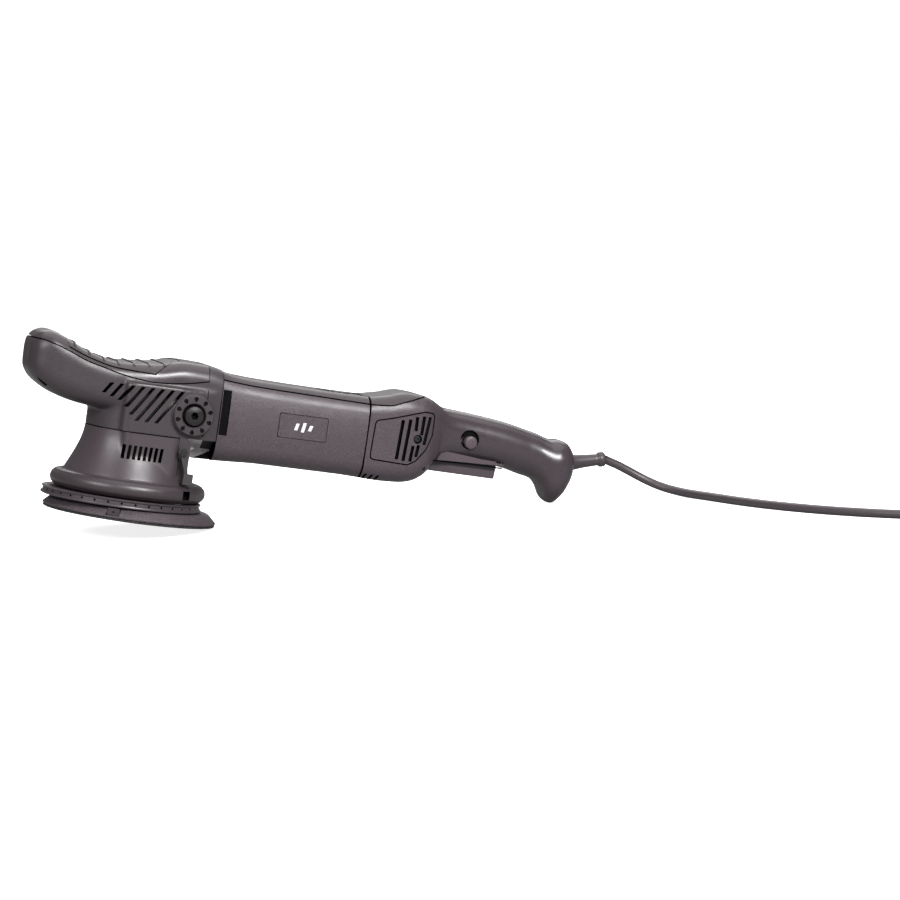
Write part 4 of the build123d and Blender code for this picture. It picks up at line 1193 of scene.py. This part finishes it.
def build_handle():
    """Rear housing and grip in two halves, with the pad and brush doors let into them."""
    gap = sizes().seam / MM / 2
    skin = grip_finish()
    whole = loft(HANDLE, step=1.5, material=skin)
    hollow = loft([(MOTOR_END - 3,) + HANDLE[0][1:]] + HANDLE[1:-3], inset=WALL, step=4.0)
    shell = meet(cut(whole, hollow), across(MOTOR_END + gap, 340))
    shell = cut(shell, build_rear_pad(loft(HANDLE, inset=1.6, step=3.0), gap))
    outline = rounded(BRUSH_COVER, 3.4, 5)
    build_brush_doors(shrunk(outline, gap), skin)
    wide = shrunk(outline, -gap)
    shell = cut(shell, prism(wide, -45, -24), prism(wide, 24, 45))
    # Painted shade: near black sheets behind the brush doors' slots.
    painted_slot_shade = [slab((168, 214), (s * 26 - 1.2, s * 26 + 1.2), (62, 103), painted_shade()) for s in SIDES]
    belly = meet(loft(HANDLE, step=1.5, material=skin), slab(BELLY, (-40, 40), (50, 73), skin))
    shell = add(shell, *painted_slot_shade, belly)
    shell = cut(shell, *trigger_pocket(), *button_room(), belly_vents())
    for x, z in HALF_SCREWS:
        shell = cut(shell, rod(3.2, (x, 11.6, z), (x, 40, z), steps=32))
    at = relief_matrix()
    shell = cut(shell, rod(7.0, at @ Vector((0, 0, -3)), at @ Vector((0, 0, 9)), steps=48))
    left = meet(shell, slab((150, 345), (-REACH, -HALF_GAP), (20, 140)))
    right = meet(shell, slab((150, 345), (HALF_GAP, REACH), (20, 140)))
    place("grip_half_left", left, "housing", "shell_plastic", "handle_left")
    place("grip_half_right", right, "housing", "shell_plastic", "handle_right")


def build_relief():
    """Tapered boot with shallow rings and a flared bead where the cord leaves it."""
    length = (Vector(RELIEF_END) - Vector(RELIEF_START)).length
    profile = [(0.01, -6), (8.6, -6), (8.6, -3.4), (6.7, -3.1), (6.7, 1.2), (6.1, 2.4), (5.4, 8), (4.9, 13),
               (4.5, length - 8), (4.4, length - 6), (4.8, length - 5.4), (5.5, length - 4.8),
               (5.7, length - 3.4), (5.65, length - 1.6), (5.3, length - 0.6), (4.6, length), (0.01, length)]
    boot = turned(profile, rubber_finish(), 64, relief_matrix(), closed=False)
    place("cord_boot", boot, "housing", "cord_rubber", "strain_relief", angle=50)


def build_trigger():
    """Paddle, its bezel with pointed ends, and the lock button in its recess."""
    tone = plastic("trigger nylon", toned(finish().shell, 1.15), 0.42, 1300.0, 0.00004, 0.1)
    side = rounded([(221.3, 61.3), (272.4, 60.8), (273.0, 69.0), (273.0, 75.3), (232, 75.8), (227.6, 74),
                    (222.2, 69.4)], 1.2, 4)
    rows = []
    for y, grow in ((-11.0, 0.9), (-10.7, 0.3), (-10.0, 0.0), (10.0, 0.0), (10.7, 0.3), (11.0, 0.9)):
        rows.append([(x, y, z) for x, z in (shrunk(side, grow) if grow else side)])
    paddle = add(through_rings(rows, tone),
                 rod(2, (PIVOT_X, -13.6, PIVOT_Z), (PIVOT_X, 13.6, PIVOT_Z), tone, 24),
                 slab((238, 244), (-4, 4), (74, 78.5), tone))
    place("paddle", paddle, "trigger", "shell_plastic", "trigger")
    # Painted highlight: the bezel takes the shell's colour lightened, as where its ledge catches the light.
    rim = plastic("bezel nylon", toned(finish().shell, 1.3), 0.38, 1300.0, 0.00003, 0.08)
    bar = BEZEL_TOP + [(279, 72.6), (276.9, 71.6)]
    flare = [(222, 20.5), (230, 17.4), (240, 15.9), (270, 15.0), (286, 11.0)]
    flare = upright([(x, -y) for x, y in flare] + flare[::-1], 60, 90, rim)
    slot = slab((200, 276.9), (-11.75, 11.75), (50, 90), rim)
    pivot_room = rod(2.1, (PIVOT_X, -14.1, PIVOT_Z), (PIVOT_X, 14.1, PIVOT_Z), steps=24)
    pieces = []
    for s in SIDES:
        near, far = sorted((s * 8, s * 22))
        strip = meet(prism(rounded(bar, 0.9, 3), near, far, rim), flare)
        pieces.append(cut(strip, slot, pivot_room))
        # Painted shade: a thin near black strip along the foot of each bezel strip.
        near, far = sorted((s * 11.5, s * 14.2))
        pieces.append(slab((222.6, 276.6), (near, far), (69.1, 70.1), painted_shade()))
    ends = [slab((220.5, 221.3), (-11.7, 11.7), (71, 77), rim),
            slab((276.4, 276.9), (-11.7, 11.7), (71.4, 82), rim)]
    place("trigger_frame", several(pieces + ends), "housing", "shell_plastic", "trigger_bezel")
    profile = [(0.01, 0), (6.2, 0), (6.2, 1.3), (4.75, 1.3), (4.75, 8.3), (4.4, 8.9), (3.4, 9.2), (0.01, 9.3)]
    button = turned(profile, plastic("button nylon", toned(finish().shell, 1.25), 0.36), 48,
                    facing(-1, BUTTON_X, -9.8, BUTTON_Z), closed=False)
    place("lock_pin", button, "lock_button", "shell_plastic", "lock_button")


# ---- carried CAD nodes --------------------------------------------------------------------------------
def dress_frame():
    """Finishes for every CAD node that stays in view."""
    steel = metal("ground steel", (0.56, 0.56, 0.57), 0.28, (1.0, 1.0, 8.0), 500.0)
    casting = metal("die cast aluminium", (0.78, 0.77, 0.76), 0.36, size=420.0, depth=0.00012)
    weight = metal("machined weight", (0.2, 0.19, 0.19), 0.45, size=350.0)
    sheet = metal("lamination stack", (0.3, 0.3, 0.31), 0.5, (60.0, 1.0, 1.0), 80.0)
    copper = metal("enamelled copper", (0.62, 0.26, 0.12), 0.34, (14.0, 2.0, 2.0), 220.0, 0.0002)
    black = plastic("black moulding", (0.012, 0.011, 0.012), 0.42, 1200.0, 0.00003, 0.15)
    screw = screw_finish()
    resin = plastic("plate resin", toned(finish().shell, 1.5), 0.4, 1000.0, 0.00005, 0.1)
    brass = metal("plated pin", (0.72, 0.69, 0.62), 0.22, (1.0, 1.0, 6.0), 300.0)
    carbon = plastic("pressed carbon", (0.03, 0.03, 0.03), 0.6, 900.0, 0.0001, 0.3)
    by_slot = {"cast_aluminium": casting, "weight_steel": weight, "steel": steel, "black_screw": screw,
               "lamination_steel": sheet, "copper": copper, "carbon": carbon, "plate_resin": resin,
               "vent_plastic": black, "shell_plastic": plastic("latch nylon", (0.03, 0.026, 0.028), 0.4),
               "soft_grip": soft_finish(), "cord_rubber": rubber_finish(), "plug_metal": brass,
               "gloss_panel": black, "plate_foam": plate_finish(), "hook_fabric": hooks()}
    slots = {s["node"]: s["material_slot"] for s in frame["record"]["subparts"]}
    by_node = {"gear_housing": casting_finish(), "latch_pin": screw, "bearing_plate": black,
               "spindle_bearing_lower": screw, "eccentric_weight": black}
    for node, obj in frame["nodes"].items():
        obj.data.materials.clear()
        obj.data.materials.append(by_node.get(node, by_slot[slots[node]]))


# ---- stage --------------------------------------------------------------------------------------------
VIEW_TARGET = (0.1006, 0.0, 0.0443)
VIEW_DISTANCE = 3.0
VIEW_AZIMUTH = -15.0
VIEW_ELEVATION = 6.0
VIEW_ROLL = 2.2
VIEW_LENS = 160.8
WORLD_FILL = 0.19
WORLD_SEEN = 1.1
FLOOR_GLOW = 0.83


def set_camera():
    """Low three-quarter view from the lock button's side, a little ahead of the tool."""
    a, e, r = (math.radians(v) for v in (VIEW_AZIMUTH, VIEW_ELEVATION, VIEW_ROLL))
    back = Vector((math.sin(a) * math.cos(e), -math.cos(a) * math.cos(e), math.sin(e)))
    right = Vector((0, 0, 1)).cross(back).normalized()
    up = back.cross(right)
    right, up = right * math.cos(r) - up * math.sin(r), right * math.sin(r) + up * math.cos(r)
    data = bpy.data.cameras.new("studio camera")
    data.lens = VIEW_LENS
    data.sensor_width = 36
    data.clip_start, data.clip_end = 0.05, 50
    camera = bpy.data.objects.new("studio camera", data)
    bpy.context.scene.collection.objects.link(camera)
    turn = Matrix((right, up, back)).transposed().to_4x4()
    camera.matrix_world = Matrix.Translation(Vector(VIEW_TARGET) + back * VIEW_DISTANCE) @ turn
    bpy.context.scene.camera = camera


def soft_light(name, spot, aim, size, power):
    data = bpy.data.lights.new(name, "AREA")
    data.shape = "RECTANGLE"
    data.size, data.size_y = size
    data.energy = power
    light = bpy.data.objects.new(name, data)
    bpy.context.scene.collection.objects.link(light)
    light.location = spot
    light.rotation_euler = (Vector(aim) - Vector(spot)).to_track_quat("-Z", "Y").to_euler()


def build_stage():
    scene = bpy.context.scene
    scene.view_settings.view_transform = "Standard"
    world = bpy.data.worlds.new("studio")
    world.use_nodes = True
    tree = world.node_tree
    light_path = tree.nodes.new("ShaderNodeLightPath")
    sky = tree.nodes["Background"]
    sky.inputs["Color"].default_value = (1, 1, 1, 1)
    seen = light_path.outputs["Is Camera Ray"]
    tree.links.new(remap(tree, seen, WORLD_FILL, WORLD_SEEN, 0, 1), sky.inputs["Strength"])
    scene.world = world
    half = 12.0
    floor = upright(rectangle(-half, half, -half, half), -0.02, 0.0)
    floor.materials.clear()
    material, tree, skin = shader("studio floor")
    if tree:
        seen = tree.nodes.new("ShaderNodeLightPath").outputs["Is Camera Ray"]
        tone = remap(tree, noise(tree, 3.0).outputs["Fac"], 0.99, 1.0)
        pale = tuple(finish().floor)
        shown = blend_colour(tree, maths(tree, "MULTIPLY", seen, tone), toned(pale, 0.35), pale)
        tree.links.new(shown, skin.inputs["Base Color"])
        skin.inputs["Emission Color"].default_value = (1, 1, 1, 1)
        tree.links.new(maths(tree, "MULTIPLY", seen, FLOOR_GLOW), skin.inputs["Emission Strength"])
        skin.inputs["Roughness"].default_value = 0.85
        skin.inputs["Specular IOR Level"].default_value = 0.1
    floor.materials.append(material)
    ground = bpy.data.objects.new("studio_floor", floor)
    scene.collection.objects.link(ground)
    soft_light("key", (0.34, -1.52, 1.09), (0.06, 0.0, 0.06), (0.7, 0.5), 50)
    soft_light("side", (-1.35, -0.95, 1.0), (0.0, 0.0, 0.06), (0.7, 0.5), 20)
    soft_light("top", (0.2, 0.25, 1.7), (0.05, 0.0, 0.05), (2.2, 1.6), 18)
    soft_light("back", (0.55, 1.5, 1.15), (0.05, 0.0, 0.06), (1.6, 1.0), 12)


# ---- operators ----------------------------------------------------------------------------------------
class PolisherOperator:
    """Shared by all operators: undoable, and each makes its own pieces."""
    bl_options = {"REGISTER", "UNDO"}
    steps = ()

    def execute(self, context):
        for step in self.steps:
            step()
        return {"FINISHED"}


def build_cord():
    """Cord, its coil and its plug."""
    cord, exit_point, plug_at, along = cord_line()
    plug = place("mains_plug", plug_shape(plug_at, along), "housing", "cord_rubber", "plug_body",
                 angle=40, tool=False)


class POLISHER_OT_stage(PolisherOperator, bpy.types.Operator):
    """Floor, soft lights and the camera"""
    bl_idname = "polisher.stage"
    bl_label = "Stage"
    steps = (set_camera, build_stage)


class POLISHER_OT_cord(PolisherOperator, bpy.types.Operator):
    """Mains cord with its coil, its plug and the boot it leaves by"""
    bl_idname = "polisher.cord"
    bl_label = "Cord and Plug"
    steps = (build_cord, build_relief)


class POLISHER_OT_frame(PolisherOperator, bpy.types.Operator):
    """Finishes of the gears, motor and fasteners that come with the frame"""
    bl_idname = "polisher.frame"
    bl_label = "Inner Works"
    steps = (dress_frame,)


class POLISHER_OT_head(PolisherOperator, bpy.types.Operator):
    """Gear head shell, palm cover, palm pad and side discs"""
    bl_idname = "polisher.head"
    bl_label = "Gear Head"
    steps = (build_head, build_discs)


class POLISHER_OT_shroud(PolisherOperator, bpy.types.Operator):
    """Shroud over the plate and its bumper ring"""
    bl_idname = "polisher.shroud"
    bl_label = "Shroud"
    steps = (build_shroud,)


class POLISHER_OT_plate(PolisherOperator, bpy.types.Operator):
    """Balance ring, foam plate and hook face"""
    bl_idname = "polisher.plate"
    bl_label = "Backing Plate"
    steps = (build_plate,)


class POLISHER_OT_motor(PolisherOperator, bpy.types.Operator):
    """Motor shell, spine trim, badge and speed wheel"""
    bl_idname = "polisher.motor"
    bl_label = "Motor"
    steps = (build_motor,)


class POLISHER_OT_handle(PolisherOperator, bpy.types.Operator):
    """Rear housing with the grip, brush doors and rear pad"""
    bl_idname = "polisher.handle"
    bl_label = "Handle"
    steps = (build_handle,)


class POLISHER_OT_trigger(PolisherOperator, bpy.types.Operator):
    """Trigger paddle, its frame and the lock button"""
    bl_idname = "polisher.trigger"
    bl_label = "Trigger"
    steps = (build_trigger,)


PIECE_OPERATORS = (POLISHER_OT_stage, POLISHER_OT_frame, POLISHER_OT_cord, POLISHER_OT_head,
                   POLISHER_OT_shroud, POLISHER_OT_plate, POLISHER_OT_motor, POLISHER_OT_handle,
                   POLISHER_OT_trigger)


class POLISHER_PT_panel(bpy.types.Panel):
    """Sidebar panel that lists the pieces and their values"""
    bl_idname = "POLISHER_PT_panel"
    bl_label = "Dual Action Polisher"
    bl_space_type = "VIEW_3D"
    bl_region_type = "UI"
    bl_category = "Polisher"

    def draw(self, context):
        for group in (context.scene.polisher_sizes, context.scene.polisher_finish):
            box = self.layout.box()
            for key in group.bl_rna.properties.keys():
                if key not in ("rna_type", "name"):
                    box.prop(group, key)
        for operator in PIECE_OPERATORS:
            self.layout.operator(operator.bl_idname)


CLASSES = (PolisherSizes, PolisherFinish, *PIECE_OPERATORS, POLISHER_PT_panel)


def register():
    for cls in CLASSES:
        bpy.utils.register_class(cls)
    bpy.types.Scene.polisher_sizes = PointerProperty(type=PolisherSizes)
    bpy.types.Scene.polisher_finish = PointerProperty(type=PolisherFinish)


def unregister():
    del bpy.types.Scene.polisher_finish
    del bpy.types.Scene.polisher_sizes
    for cls in reversed(CLASSES):
        bpy.utils.unregister_class(cls)


def main():
    register()
    bpy.ops.polisher.stage()
    bpy.ops.polisher.frame()
    bpy.ops.polisher.cord()
    bpy.ops.polisher.head()
    bpy.ops.polisher.shroud()
    bpy.ops.polisher.plate()
    bpy.ops.polisher.motor()
    bpy.ops.polisher.handle()
    bpy.ops.polisher.trigger()


if __name__ == "__main__":
    main()
